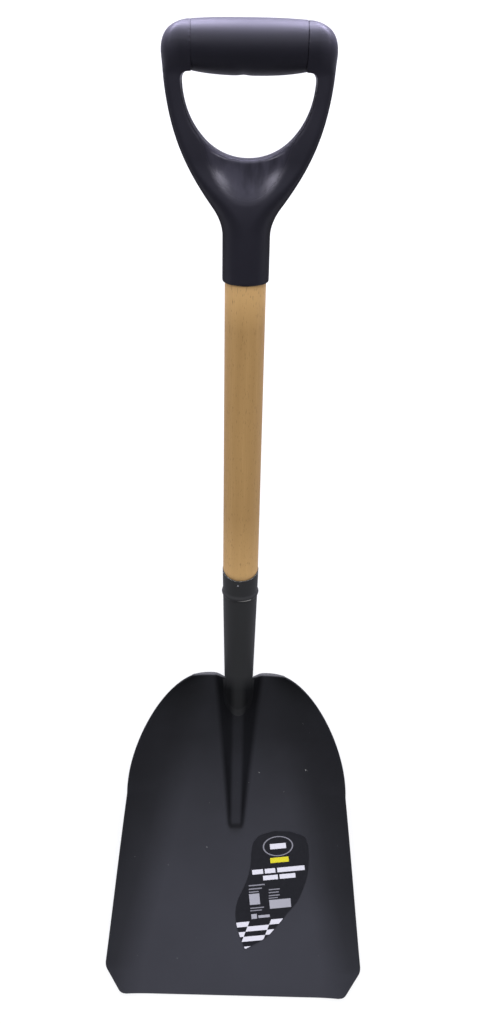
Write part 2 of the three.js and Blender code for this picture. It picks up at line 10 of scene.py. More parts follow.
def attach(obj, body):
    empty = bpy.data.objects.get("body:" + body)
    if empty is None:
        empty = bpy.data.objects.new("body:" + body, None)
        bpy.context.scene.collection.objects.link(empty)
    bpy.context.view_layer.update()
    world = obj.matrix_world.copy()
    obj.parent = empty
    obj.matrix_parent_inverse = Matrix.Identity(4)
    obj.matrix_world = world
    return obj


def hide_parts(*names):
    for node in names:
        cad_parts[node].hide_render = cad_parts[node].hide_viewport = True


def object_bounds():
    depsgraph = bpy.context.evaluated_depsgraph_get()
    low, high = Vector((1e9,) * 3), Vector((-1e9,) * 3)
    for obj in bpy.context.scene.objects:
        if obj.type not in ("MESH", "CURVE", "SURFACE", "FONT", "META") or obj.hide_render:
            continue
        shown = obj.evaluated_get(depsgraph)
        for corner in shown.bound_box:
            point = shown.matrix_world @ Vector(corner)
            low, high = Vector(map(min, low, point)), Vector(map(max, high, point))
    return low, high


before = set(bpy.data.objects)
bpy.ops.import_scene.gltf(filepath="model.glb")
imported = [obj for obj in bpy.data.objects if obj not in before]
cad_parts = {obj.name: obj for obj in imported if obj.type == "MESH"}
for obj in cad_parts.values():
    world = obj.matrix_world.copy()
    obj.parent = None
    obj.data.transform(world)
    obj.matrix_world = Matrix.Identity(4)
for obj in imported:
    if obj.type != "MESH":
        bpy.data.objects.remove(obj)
cad_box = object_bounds()

# Blade
BLADE_LENGTH = 0.3615
BLADE_WIDTH = 0.2865
BLADE_SHEET = 0.0018
REST_TO_TIP = 0.0915
REAR_EDGE_WIDTH = 0.106
SIDE_START_WIDTH = 0.238
SIDE_START_STATION = 0.128
WIDEST_STATION = 0.3295
WIDEST_CORNER_ROUND = 0.005
TIP_WIDTH = 0.250
TIP_CORNER_ROUND = 0.006
REAR_CURVE_SHARES = ((0.5, 0.125), (1, 0.575))
EDGE_ROUND = 0.0005

# Dish of the blade
REAR_RISE = 0.009
REAR_RISE_RUN = 0.090
SHOULDER_RISE = 0.008
SIDE_RISE = 0.027
TIP_SIDE_RISE = 0.0025
SIDE_PEAK_STATION = 0.105
FLAT_WIDTH_REAR = 0.060
FLAT_WIDTH_FRONT = 0.210
FLAT_SHARE_MOST = 0.75

# Rib and saddle
RIB_LENGTH = 0.174
RIB_REAR_WIDTH = 0.054
RIB_FRONT_WIDTH = 0.017
RIB_CREST_WIDTH = 0.009
RIB_REAR_RISE = 0.011
RIB_FRONT_RISE = 0.004
RIB_END_RUN = 0.009
SADDLE_CREST_WIDTH = 0.024
SADDLE_CREST_RUN = 0.036
SADDLE_RISE = 0.005
SADDLE_RISE_RUN = 0.045

# Treads
TREAD_INNER_WIDTH = 0.024
TREAD_BEND_RADIUS = 0.0012
TREAD_DEPTH = 0.007
TREAD_LEAST_SHARE = 0.04
TREAD_FULLNESS_POWER = 0.5
TREAD_TURN_SHARE = 0.6

# Shaft line
LIFT = math.radians(28.5)
AXIS_ABOVE_SHEET = 0.008

# Socket
SOCKET_RIM_STATION = 0.1423
SOCKET_RIM_RADIUS = 0.0183
SOCKET_RIM_SLANT = 0.0041
SOCKET_SHOULDER_RADIUS = 0.0156
SOCKET_WALL = 0.0012
SOCKET_EDGE_ROUND = 0.0003
SOCKET_DEPTH_PAST_SHOULDER = 0.042
BEAD_BELOW_RIM = 0.0267
BEAD_HEIGHT = 0.008
BEAD_PROUD = 0.0012
SEAM_HALF_ANGLE = math.radians(1.6)

# Rivet
RIVET_BELOW_RIM = 0.0092
RIVET_TURN = math.radians(-7)
RIVET_RADIUS = 0.0009
RIVET_HEAD_RADIUS = 0.0014
RIVET_HEAD_HEIGHT = 0.0007

# Wooden shaft
WOOD_RADIUS = 0.0178
WOOD_FOOT_STATION = 0.040
WOOD_EDGE_RADIUS = 0.0015
WOOD_SHOULDER_RUN = 0.002

# Grip yoke
COLLAR_FOOT_STATION = 0.4345
COLLAR_RADIUS = 0.020
COLLAR_FOOT_ROUND = 0.0016
COLLAR_TOP_STATION = 0.472
BORE_END_STATION = 0.488
FLANK_START_STATION = 0.495
FLANK_START_HALF_WIDTH = 0.028
ARM_SPREAD = 0.0669
ARM_TOP_STATION = 0.607
HAND_OPENING_FOOT = 0.5326
HAND_OPENING_HALF_WIDTH = 0.0525
HAND_OPENING_CORNER_ROUND = 0.0065
WEB_DEPTH = 0.027
WEB_THINNING_POWER = 1.6
ARM_DEPTH = 0.024
ARM_EDGE_ROUND = 0.0062
FLANK_CURVE_SHARES = ((0.7, 0.34), (0.95, 0.585))
OPENING_CURVE_SHARES = ((0.57, 0.0), (0.98, 0.44))
LIP_ROUND = 0.0031
LIP_ARM_ROUND = 0.0012
LIP_RUN = 0.035
KNOB_ROUND = 0.009
KNOB_BLEND = 0.006
KNOB_RUN = 0.03

# Thumb hollows
HOLLOW_STATION = 0.575
HOLLOW_FOOT_STATION = 0.497
HOLLOW_HALF_WIDTH = 0.042
HOLLOW_DEPTH = 0.0067
HOLLOW_CREASE = 0.0014

# The hollow's floor rises with its depth times these shares of its reach to these powers
HOLLOW_RISE_SHARES = ((0.65, 2), (0.6, 8))

# Bar of the grip
BAR_STATION = 0.6126
BAR_MIDDLE_RADIUS = 0.01975
BAR_BULGE_POWER = 2.7
BAR_SAG = 0.0009
BAR_SEAM_RADIUS = 0.01765
BAR_SEAM_HALF_SPAN = 0.044
BAR_CORE_RADIUS = 0.0105
BAR_END_ROUND = 0.001
BAR_NICK_DEPTH = 0.0006
BAR_NICK_WIDTH = 0.008
BAR_NICK_ASIDE = -0.004
SLEEVE_EDGE_ROUND = 0.0002
BAR_CORE_OVERLAP = 0.0012
CROWN_TURN = math.radians(80)

# Grip pin
PIN_STATION = 0.455
PIN_RADIUS = 0.002
PIN_HEAD_RADIUS = 0.0036
PIN_HEAD_HEIGHT = 0.0014
PIN_DEPTH = 0.026

# Welds: a fillet round the socket's foot
WELD_TIP_REACH = 0.004
WELD_SIDE_REACH = 0.0032
WELD_FILL = 0.0005
WELD_RIPPLE = 0.00015
WELD_RIPPLE_LENGTH = 0.0028
WELD_END_STATION = 0.001
WELD_SINK = 0.0008

# Clearances: between seated pieces, at the sleeve's ends, and of the skin inside the CAD model's
SEAT_GAP = 0.0003
SLEEVE_GAP = 0.0001
SKIN_INSET = 0.0001

# Label
LABEL_WIDTH = 0.081
LABEL_LENGTH = 0.133
LABEL_SHEET = 0.0003
LABEL_START_STATION = 0.175
LABEL_LEFT_ASIDE = 0.0017

# The label's outline from its round rear end to its pointed end: along, left and right
LABEL_EDGE_SHARES = (
    (0, 0.52, 0.73),
    (0.03, 0.35, 0.9),
    (0.08, 0.25, 0.965),
    (0.16, 0.21, 0.995),
    (0.26, 0.2, 1),
    (0.38, 0.17, 0.98),
    (0.48, 0.11, 0.93),
    (0.59, 0.03, 0.85),
    (0.69, 0, 0.72),
    (0.8, 0.02, 0.58),
    (0.9, 0.07, 0.43),
    (1, 0.14, 0.16),
)

# The label's print in millimetres on its own slightly turned frame: left, right, top and foot
PRINT_PLACE = (0.0479, 0.0783, 0)
PRINT_TURN = math.radians(6.7)
PRINT_UNIT = 0.001
WHITE_BARS = (
    (-9, 9, -3, 3),
    (-31.6, -19.4, 24.2, 29.4),
    (-17.4, -5.6, 24.2, 29.4),
    (-3.4, 27.4, 24.2, 29.4),
    (-20.1, -3.4, 31.8, 36.9),
    (-1.4, 16.4, 31.8, 36.9),
)
PALE_BARS = (
    (-37.7, -26.1, 50.9, 63.1),
    (-15.7, 8.2, 59.6, 69.4),
    (-29.4, -16.7, 75.6, 78.6),
    (-37.3, -31.1, 73.6, 79),
)
GREY_BARS = (
    (-37, -19, 40.8, 42.2),
    (-37.3, -22.5, 44.7, 46.1),
    (-37.4, -26.5, 48.2, 49.4),
    (-15.1, -2.6, 47.4, 48.6),
    (-15.4, -4, 50.7, 51.9),
    (-15.7, -3.3, 54.1, 55.3),
    (-16, -5.8, 57, 58),
    (-37.6, -22.1, 66.3, 67.5),
    (-37.9, -24.8, 69.2, 70.3),
)
YELLOW_BARS = ((-10.1, 10.5, 12.6, 18.4),)
RING_HALF_WIDTH = 16.3
RING_HALF_HEIGHT = 10.7
RING_LINE_SHARE = 0.045
CHECKER_TOP = 81.5
CHECKER_ROW = 5.55
CHECKER_COLUMN = 24.4
CHECKER_COLUMNS_EACH_WAY = 2
CHECKER_ASIDE = 0.8
CHECKER_SLANT = 0.5

# Fineness: how many points, rows or sides a shape takes
FINE_SIDES = 128
SMALL_SIDES = 32
DOME_POINTS = 6
BEVEL_SEGMENTS = 3
BLADE_SIDE_POINTS = 60
CORNER_POINTS = 13
CREST_FLANK_AND_PAN_POINTS = (6, 13, 37)
STATION_COUNTS = (64, 16, 9, 40, 12, 8, 10)
TREAD_BEND_ROWS = 9
TREAD_FALL_ROWS = 6
SEARCH_STEPS = 400
SOCKET_FOOT_ROWS = 36
SOCKET_RIM_ROWS = 70
SOCKET_ROW_SHARE = 0.7
WELD_POINTS = 160
WELD_ROWS = 9
WOOD_SHOULDER_RINGS = 5
FLANK_POINTS = 24
OPENING_POINTS = 30
SLEEVE_RINGS = 72
LABEL_ROWS = 90
LABEL_COLUMNS = 33
LABEL_ROW_POWER = 1.5
NET_CELL = 0.0009
NET_MARGIN_CELLS = 3
NET_EASING = 0.5
NET_EASING_ROUNDS = 4
MERGE_DISTANCE = 0.000002
SHARP_ANGLE = math.radians(38)

# Colours in sRGB bytes
FULL_BYTE = 255
COLOURS = {
    # Painted light: blade_rear, blade_middle and blade_tip draw the blade darker at its rear and
    # lighter towards its tip
    "blade_rear": (28, 28, 30),
    "blade_middle": (43, 43, 46),
    "blade_tip": (51, 51, 55),
    # Painted shade: blade_side darkens the blade's raised sides
    "blade_side": (17, 17, 18),
    "blade_edge": (50, 50, 54),
    # Partly painted highlight: the pale grey on the blade's cut edge, which is also abraded paint
    "blade_edge_worn_and_lit": (140, 140, 142),
    # Painted highlight on the treads
    "tread_highlight": (68, 68, 67),
    # Painted shade in the valleys beside the rib and at the socket's foot
    "painted_shade": (3, 3, 4),
    "paint_light": (90, 92, 100),
    "paint_speck": (190, 190, 185),
    "socket": (48, 48, 48),
    # Painted highlight along the socket's bead
    "socket_bead_highlight": (225, 222, 214),
    "rim": (70, 69, 66),
    "rim_chipped": (222, 216, 204),
    "rivet": (20, 20, 21),
    "rivet_bright": (225, 225, 228),
    "steel": (205, 205, 208),
    "steel_light": (235, 235, 238),
    "yoke": (20, 19, 27),
    "yoke_light": (26, 25, 33),
    # Painted sheen in the thumb hollows and painted highlight on the knobs
    "yoke_sheen": (52, 50, 60),
    "yoke_sheen_light": (60, 58, 68),
    # Painted shade on the yoke's walls below the bar
    "yoke_wall_shade": (7, 7, 8),
    "yoke_wall_shade_light": (10, 10, 12),
    "sleeve": (15, 14, 22),
    "sleeve_light": (21, 20, 29),
    "wood_dark": (168, 130, 78),
    "wood_light": (189, 150, 95),
    "wood_grain": (177, 139, 85),
    # Painted light towards the wood's ends
    "wood_lit_ends": (236, 190, 126),
    "wood_pore": (112, 80, 46),
    "wood_spot": (98, 66, 36),
    "vinyl": (15, 15, 19),
    "vinyl_light": (21, 21, 26),
    "print_grey": (120, 119, 124),
    "print_pale": (148, 147, 152),
    "print_white": (196, 194, 198),
    "print_yellow": (196, 186, 38),
    "floor_lit": (158, 158, 158),
    "floor_seen": (245, 245, 245),
    "white": (255, 255, 255),
}

# Textures: scale and detail of a noise, and its stretch on each axis where it is drawn out
PAINT_MOTTLE = (9, 4)
PAINT_SPECKS = (420, 1)
PAINT_PEEL = (1400, 2)
EDGE_WEAR_AND_HIGHLIGHT = (60, 3)
RIM_CHIPS = (300, 3)
RIVET_SKIN = (3000, 2)
STEEL_SCRATCHES = (3000, 2, (1, 0.1, 1))
PLASTIC_CLOUD = (22, 4)
PLASTIC_GRAIN = (2600, 1)
HOLLOW_STREAKS = (130, 2, (1, 1, 0.2))
SLEEVE_CLOUD = (30, 4)
WOOD_GRAIN = (900, 6, (1, 1, 0.03))
WOOD_BANDS = (120, 3, (1, 1, 0.05))
WOOD_PORES = (1500, 1, (1, 1, 0.12))
WOOD_SPOTS = (260, 2, (1, 1, 0.4))
VINYL_SKIN = (300, 2)
NOISE_ROUGHNESS = 0.55

# Depths of the materials' fine relief
PAINT_PEEL_DEPTH = 0.00003
STEEL_SCRATCH_DEPTH = 0.00001
PLASTIC_GRAIN_DEPTH = 0.00003
WOOD_GRAIN_DEPTH = 0.00008
VINYL_RIPPLE_DEPTH = 0.00002

# Ranges of a noise, from low to high, some with the shares that they turn into
WIDE_RANGE = (0.3, 0.7)
NARROW_RANGE = (0.35, 0.65)
SPECK_RANGE = (0.83, 0.85)
EDGE_WEAR_AND_HIGHLIGHT_RANGE = (0.4, 0.6)
RIM_CHIP_RANGE = (0.42, 0.58)
MOTTLE_LIGHTENING = (0.3, 0.75, 0, 0.06)
WOOD_PORE_SHARES = (0.66, 0.74, 0, 0.6)
WOOD_SPOT_SHARES = (0.74, 0.8, 0, 0.6)

# Roughness and gloss: paints have both in one, a mottle adds a change from least to most
BLADE_FINISH = (0.45, 0.08)
SOCKET_FINISH = (0.5, 0.16)
EDGE_FINISH = (0.42, 0.3)
MOTTLE_ROUGHENING = (-0.04, 0.05)
SHADE_ROUGHNESS = 0.35
WALL_ROUGHNESS = 0.5
SLEEVE_ROUGHNESS = (0.46, 0.54)
RIVET_ROUGHNESS = (0.5, 0.35)
STEEL_ROUGHNESS = (0.22, 0.4)
WOOD_ROUGHNESS = (0.5, 0.62)
VINYL_ROUGHNESS = (0.32, 0.4)
PLASTIC_GLOSS = 0.4
WOOD_GLOSS = 0.4
VINYL_GLOSS = 0.35
PLASTIC_TINT = (0.88, 0.85, 1, 1)

# Where the blade's painted light, painted shade and painted highlights change, and its edge greys:
# distances with the shares from which to which they run
VALLEY_SHADE_FROM_PAN = (-0.002, 0.004, 0, 0.95)
VALLEY_SHADE_FROM_CREST = (-0.001, 0.003, 0.35, 1)
SIDE_SHADE = (-0.005, 0.028, 0, 0.5)
TREAD_HIGHLIGHT = (0.2704, 0.2718)
PAINTED_LIGHT_TO_MIDDLE = (0.2, 0.11)
PAINTED_LIGHT_TO_TIP = (0.11, 0)
EDGE_WEAR_AND_HIGHLIGHT_SHARES = (0.1, 0.8)

# Where painted shade darkens the socket's foot next to the blade: along the blade, and away from
# its middle
SOCKET_SHADE_RUN = (0.275, 0.258)
SOCKET_SHADE_ASIDE = (0.003, 0.009, 0.45, 1)

# The painted highlight on the socket's bead: station and half height, then where its ends fade
# across
BEAD_HIGHLIGHT_STATION = (0.1143, 0.0004)
BEAD_HIGHLIGHT_LEFT_END = (-0.003, 0.008)
BEAD_HIGHLIGHT_RIGHT_END = (0.0118, 0.0106)

# The rivet's rubbed crown: where its bright middle ends
RIVET_CROWN = (0.0009, 0.0006)

# The thumb hollow, by shares of its reach: its polish with its roughness, and the painted sheen
# that makes its floor paler
HOLLOW_POLISH = (0.9, 1, 0.22, 0.48)
HOLLOW_SHEEN = (0.94, 0.84)
HOLLOW_STREAK_SHARES = (0.25, 0.9)

# Where a painted highlight makes the knobs paler: away from the middle, and along the shaft line
KNOB_HIGHLIGHT_ASIDE = (0.052, 0.064, 0, 0.8)
KNOB_HIGHLIGHT_STATION = (0.595, 0.612)

# Which faces are the yoke's dull walls, rougher and darkened by painted shade: by how much they
# face the front, and along the shaft line
WALL_TURN = (0.35, 0.75, 1, 0)
WALL_STATION = (0.575, 0.592, 1, 0)

# Where painted light makes the wood paler towards its ends: from station to station, with the
# shares there
WOOD_PALE_HEAD = (0.395, 0.435, 0, 0.65)
WOOD_PALE_FOOT = (0.21, 0.145, 0, 0.45)

# Camera: where it stands, where it looks and its upward direction
CAMERA_PLACE = (0.00564, 0.45820, 0.96692)
CAMERA_LOOK = (-0.008398, -0.006095, -0.999946)
CAMERA_UP = (-0.020721, 0.999768, -0.005920)
CAMERA_LENS = 30.277
CAMERA_SENSOR = 36

# Lamps, each with its twin on the left: name, place, what it faces, size, power in watts and tint
LAMPS = (
    ("lamp", (0.8, 0.9, 1.9), (0, 0.6, 0.2), (0.3, 0.5), 5, (1.0, 1.0, 1.0)),
    ("crown_lamp", (0.3, 1.75, 0.42), (0, 0.8, 0.33), (0.4, 0.55), 17, (0.76, 0.72, 1.0)),
)

# Sky: brightest towards one direction, darker to the sides and opposite
SKY_AXIS = (0, 0.966, 0.259)
SKY_LOW = 0.28
SKY_HIGH = 6
SKY_POWER = 5
SKY_NARROWING = 0.35
SKY_TINT = (0.9, 0.92, 1.0, 1)
FLOOR_REACH = 6
FLOOR_GLOW_SHARE = 0.8
FLOOR_GLOSS_SHARE = 0.05

SHOULDER_Y = BLADE_LENGTH - REST_TO_TIP
AXIS_HEIGHT = REAR_RISE + BLADE_SHEET + AXIS_ABOVE_SHEET
REAR_SLOPE = 2 * REAR_RISE / REAR_RISE_RUN
BAR_UNDERSIDE = BAR_STATION - BAR_SEAM_RADIUS
RIGHT_ANGLE = math.pi / 2
SHAFT_TURN = Matrix.Rotation(LIFT - RIGHT_ANGLE, 4, "X")
SHAFT_PLACE = Matrix.Translation((0, SHOULDER_Y, AXIS_HEIGHT)) @ SHAFT_TURN


# Numbers
def mix(start, end, share):
    return start + (end - start) * share


def clamp_share(value):
    return np.clip(value, 0, 1)


def smooth(value):
    share = clamp_share(value)
    return share * share * (3 - 2 * share)


def bezier(points, count):
    """Evenly run points of the Bezier curve with these control points, one to a row."""
    layers = np.array(points, float)[:, None, :]
    shares = np.linspace(0, 1, count)[:, None]
    while len(layers) > 1:
        layers = mix(layers[:-1], layers[1:], shares)
    return layers[0]


def side_curve(start, end, shares, count):
    """A Bezier curve whose inner control points lie at shares of its way, one for each axis."""
    start, end = np.array(start), np.array(end)
    return bezier([start, *(mix(start, end, np.array(pair)) for pair in shares), end], count)


def rounded_corner(before, corner, after, reach):
    """A curve from a reach before the corner to the same reach past it."""
    before, corner, after = (np.array(point, float) for point in (before, corner, after))
    runs = (before - corner, after - corner)
    first, last = (corner + reach * run / np.hypot(*run) for run in runs)
    return bezier([first, corner, last], CORNER_POINTS)


def through(values, places, wanted):
    """A smooth curve through values given at rising places, read at the wanted places."""
    values, places = np.array(values, float), np.array(places, float)
    slopes = np.gradient(values, places)
    index = np.clip(np.searchsorted(places, wanted) - 1, 0, len(places) - 2)
    run = places[index + 1] - places[index]
    share = (wanted - places[index]) / run
    start, end = values[index], values[index + 1]
    lean = share * (1 - share) * run
    bent = (1 - share) * slopes[index] - share * slopes[index + 1]
    straight = (end - start) / run * (1 - 2 * share)
    return mix(start, end, share) + lean * (bent - straight)


# Meshes
def grid_faces(rows, columns, closed=False):
    """Quads between the neighbours in a grid of points numbered row by row."""
    row, column = np.meshgrid(
        np.arange(rows - 1), np.arange(columns if closed else columns - 1), indexing="ij"
    )
    following = (column + 1) % columns
    corners = (
        row * columns + column,
        row * columns + following,
        (row + 1) * columns + following,
        (row + 1) * columns + column,
    )
    return np.stack(corners, -1).reshape(-1, len(corners))


def onto_shaft_line(points):
    """Moves points from about +Z, with stations as heights, to the shaft line, its front at -Y."""
    turn = np.array(SHAFT_PLACE.to_3x3())
    return np.asarray(points) @ turn.T + np.array(SHAFT_PLACE.translation)


def add_object(name, data):
    added = bpy.data.objects.new(name, data)
    bpy.context.scene.collection.objects.link(added)
    return added


def make_piece(name, points, faces, node, material):
    """A smooth-shaded mesh that stands for a CAD node."""
    mesh = bpy.data.meshes.new(name)
    mesh.from_pydata(np.asarray(points).tolist(), [], np.asarray(faces).tolist())
    clean = bmesh.new()
    clean.from_mesh(mesh)
    bmesh.ops.remove_doubles(clean, verts=clean.verts, dist=MERGE_DISTANCE)
    bmesh.ops.recalc_face_normals(clean, faces=clean.faces)
    clean.to_mesh(mesh)
    clean.free()
    mesh.shade_smooth()
    mesh.set_sharp_from_angle(angle=SHARP_ANGLE)
    mesh.materials.append(material)
    piece = add_object(name, mesh)
    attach(piece, "root")
    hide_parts(node)
    return piece


def round_edges(piece, radius):
    """Rounds the piece's sharp edges. The round takes the piece's last material."""
    bevel = piece.modifiers.new("rounded edges", "BEVEL")
    bevel.limit_method = "ANGLE"
    bevel.angle_limit = SHARP_ANGLE
    bevel.width = radius
    bevel.segments = BEVEL_SEGMENTS
    bevel.harden_normals = True
    bevel.material = len(piece.data.materials) - 1


def lathe(profile, sides=FINE_SIDES):
    """Points and faces of a lathe about +Z from (radius, height) pairs."""
    turns = np.linspace(0, 2 * math.pi, sides, endpoint=False)
    rings = [
        np.stack((radius * np.cos(turns), radius * np.sin(turns), np.full(sides, height)), -1)
        for radius, height in profile
    ]
    return np.concatenate(rings), grid_faces(len(profile), sides, closed=True)


def along_front(points, station, turn=0.0):
    """Lays lathe points at a station so that they point to the shaft line's front, or turned."""
    across, front = points[:, 0], points[:, 2]
    cos, sin = math.cos(turn), math.sin(turn)
    laid = np.stack((across * cos + front * sin, across * sin - front * cos, points[:, 1]), -1)
    return onto_shaft_line(laid + (0, 0, station))


def dome(radius, start, end):
    """Profile of a low dome from its rim to its top."""
    turns = np.linspace(0, RIGHT_ANGLE, DOME_POINTS)
    return [(radius * math.cos(turn), mix(start, end, math.sin(turn))) for turn in turns]


# Shape of the blade
def blade_outline(tip_round):
    """The blade's right side as half-width against station."""
    rear = (REAR_EDGE_WIDTH / 2, 0)
    side = (SIDE_START_WIDTH / 2, SIDE_START_STATION)
    widest = (BLADE_WIDTH / 2 - SKIN_INSET, WIDEST_STATION)
    tip = (TIP_WIDTH / 2, BLADE_LENGTH)
    parts = (
        side_curve(rear, side, REAR_CURVE_SHARES, BLADE_SIDE_POINTS),
        rounded_corner(side, widest, tip, WIDEST_CORNER_ROUND),
        rounded_corner(widest, tip, (0, BLADE_LENGTH), tip_round),
    )
    return np.concatenate(parts)


CUT_OUTLINE = blade_outline(TIP_CORNER_ROUND)
PRESSED_OUTLINE = blade_outline(0)


def half_width_at(station, outline=CUT_OUTLINE):
    return np.interp(station, outline[:, 1], outline[:, 0])


def side_lift(across, station):
    edge = half_width_at(station, PRESSED_OUTLINE)
    flat_width = mix(FLAT_WIDTH_REAR, FLAT_WIDTH_FRONT, station / WIDEST_STATION)
    flat = np.minimum(flat_width / 2, FLAT_SHARE_MOST * edge)
    climbing = mix(SHOULDER_RISE, SIDE_RISE, smooth(station / SIDE_PEAK_STATION))
    falling = (station - SIDE_PEAK_STATION) / (BLADE_LENGTH - SIDE_PEAK_STATION)
    rise = mix(climbing, TIP_SIDE_RISE, smooth(falling))
    return rise * clamp_share((np.abs(across) - flat) / (edge - flat)) ** 2


def rib_half_width(station):
    return mix(RIB_REAR_WIDTH, RIB_FRONT_WIDTH, clamp_share(station / RIB_LENGTH)) / 2


def crest_half_width(station):
    return mix(SADDLE_CREST_WIDTH, RIB_CREST_WIDTH, smooth(station / SADDLE_CREST_RUN)) / 2


def rib_lift(across, station):
    half = rib_half_width(station)
    flank = (half - np.abs(across)) / (half - crest_half_width(station))
    end = 1 - smooth((station - RIB_LENGTH + RIB_END_RUN) / RIB_END_RUN)
    saddle = SADDLE_RISE * clamp_share(1 - station / SADDLE_RISE_RUN) ** 2
    rise = mix(RIB_REAR_RISE, RIB_FRONT_RISE, clamp_share(station / RIB_LENGTH)) + saddle
    return rise * end * smooth(flank)


def back_height(across, station):
    """Height of the blade's back above the ground."""
    rear = REAR_RISE * clamp_share(1 - station / REAR_RISE_RUN) ** 2
    return rear + side_lift(across, station) + rib_lift(across, station)


def top_height(across, station):
    """Height of the blade's upper face above the ground."""
    reach = BLADE_SHEET / 2
    climb = back_height(across + reach, station) - back_height(across - reach, station)
    return back_height(across, station) + reach * (1 + np.hypot(1, climb / BLADE_SHEET))


def places_across(station):
    """Places across the blade at one station: close together on the rib, wider on the pan."""
    ends = (0, crest_half_width(station), rib_half_width(station), half_width_at(station))
    runs = zip(ends, ends[1:], CREST_FLANK_AND_PAN_POINTS)
    places = [mix(near, far, np.linspace(0, 1, count))[1:] for near, far, count in runs]
    right = np.concatenate(places)
    return np.concatenate([-right[::-1], [0], right])


def blade_stations():
    """Stations of the blade's rows, closer together where its shape turns faster."""
    ends = (
        0,
        SIDE_START_STATION,
        RIB_LENGTH - RIB_END_RUN,
        RIB_LENGTH,
        WIDEST_STATION - WIDEST_CORNER_ROUND,
        WIDEST_STATION + WIDEST_CORNER_ROUND,
        BLADE_LENGTH - TIP_CORNER_ROUND,
        BLADE_LENGTH,
    )
    runs = zip(ends, ends[1:], STATION_COUNTS)
    stations = [np.linspace(start, end, count, endpoint=False) for start, end, count in runs]
    return np.append(np.concatenate(stations), BLADE_LENGTH)


def tread_rows(across):
    """The turned rear edge as rows of points across, from its free end back to the bend's start."""
    inner = TREAD_INNER_WIDTH / 2
    along = clamp_share((np.abs(across) - inner) / (REAR_EDGE_WIDTH / 2 - inner))
    fullness = clamp_share(np.sin(math.pi * along)) ** TREAD_FULLNESS_POWER
    depth_share = np.maximum(TREAD_LEAST_SHARE, fullness)
    start_height = back_height(across, 0) + BLADE_SHEET / 2
    start_angle = math.atan(REAR_SLOPE)
    end_angle = mix(start_angle, -RIGHT_ANGLE, clamp_share(depth_share / TREAD_TURN_SHARE))
    bend = []
    for share in np.linspace(1, 0, TREAD_BEND_ROWS)[:-1]:
        angle = mix(start_angle, end_angle, share)
        y = SHOULDER_Y + TREAD_BEND_RADIUS * (math.sin(start_angle) - np.sin(angle))
        z = start_height + TREAD_BEND_RADIUS * (np.cos(angle) - math.cos(start_angle))
        bend.append(np.stack((across, y, z), -1))
    past_turn = (depth_share - TREAD_TURN_SHARE) / (1 - TREAD_TURN_SHARE)
    drop = TREAD_DEPTH * np.maximum(TREAD_LEAST_SHARE, past_turn)
    down = np.stack((0 * across, np.cos(end_angle), np.sin(end_angle)), -1)
    fall_shares = np.linspace(1, 0, TREAD_FALL_ROWS)[:-1]
    falls = [bend[0] + down * (drop * share)[:, None] for share in fall_shares]
    return falls + bend


def blade_middle():
    """The middle of the sheet as rows of points, from the treads' free edges to the tip."""
    rows = tread_rows(places_across(0))
    for station in blade_stations():
        across = places_across(station)
        height = back_height(across, station) + BLADE_SHEET / 2
        rows.append(np.stack((across, np.full_like(across, SHOULDER_Y - station), height), -1))
    return np.array(rows)


def unit(vectors):
    return vectors / np.linalg.norm(vectors, axis=-1, keepdims=True)


def sheet_normals(grid):
    return unit(np.cross(*np.gradient(grid, axis=(0, 1))))


def sheet_points_and_faces(top, bottom):
    """A closed sheet from two grids of points with the same rows and columns."""
    rows, columns = top.shape[:2]
    faces = grid_faces(rows, columns)
    count = rows * columns
    order = np.arange(count).reshape(rows, columns)
    rim = np.concatenate([order[0, :-1], order[:-1, -1], order[-1, :0:-1], order[:0:-1, 0]])
    following = np.roll(rim, -1)
    walls = np.stack((following, rim, rim + count, following + count), -1)
    points = np.concatenate([top.reshape(-1, 3), bottom.reshape(-1, 3)])
    return points, np.concatenate([faces, faces[:, ::-1] + count, walls])


def make_blade(paint, edge_paint):
    middle = blade_middle()
    reach = sheet_normals(middle) * BLADE_SHEET / 2
    points, faces = sheet_points_and_faces(middle + reach, middle - reach)
    blade = make_piece("blade_sheet", points, faces, "blade", paint)
    blade.data.materials.append(edge_paint)
    round_edges(blade, EDGE_ROUND)


# Shape of the socket
def socket_radius(station):
    return mix(SOCKET_SHOULDER_RADIUS, SOCKET_RIM_RADIUS, station / SOCKET_RIM_STATION)


def bead_rise(station):
    share = (station - SOCKET_RIM_STATION + BEAD_BELOW_RIM) / (BEAD_HEIGHT / 2)
    return BEAD_PROUD * np.where(np.abs(share) < 1, np.cos(share * RIGHT_ANGLE) ** 2, 0)


def rim_station(turns):
    """The rim is slanted: it stands higher at the back than at the front."""
    return SOCKET_RIM_STATION - SOCKET_RIM_SLANT * np.cos(turns)


def tube_points(radius, turns, station):
    local = np.stack((radius * np.sin(turns), -radius * np.cos(turns), station + 0 * turns), -1)
    return onto_shaft_line(local)


def socket_points(turns, station, inset=0):
    return tube_points(socket_radius(station) - inset, turns, station)


def clearance(points):
    """Height above the blade's upper face near the shaft line, or distance behind its rear edge."""
    station = SHOULDER_Y - points[..., 1]
    on_plate = np.maximum(station, 0)
    past_edge = (on_plate - station) * REAR_SLOPE
    above = points[..., 2] - top_height(points[..., 0], on_plate) - past_edge
    return np.maximum(above, -station - 2 * TREAD_BEND_RADIUS)


def foot_stations(inset, turns):
    """The stations at which the socket's wall meets the blade, one for each turn."""
    stations = np.linspace(SOCKET_RIM_STATION, -SOCKET_DEPTH_PAST_SHOULDER, SEARCH_STEPS)
    clear = np.array([clearance(socket_points(turns, station, inset)) for station in stations])
    blocked = clear < 0
    below = np.where(blocked.any(0), blocked.argmax(0), len(stations) - 1)
    column = np.arange(len(turns))
    high, low = clear[below - 1, column], clear[below, column]
    share = clamp_share(high / (high - low))
    return mix(stations[below - 1], stations[below], share)


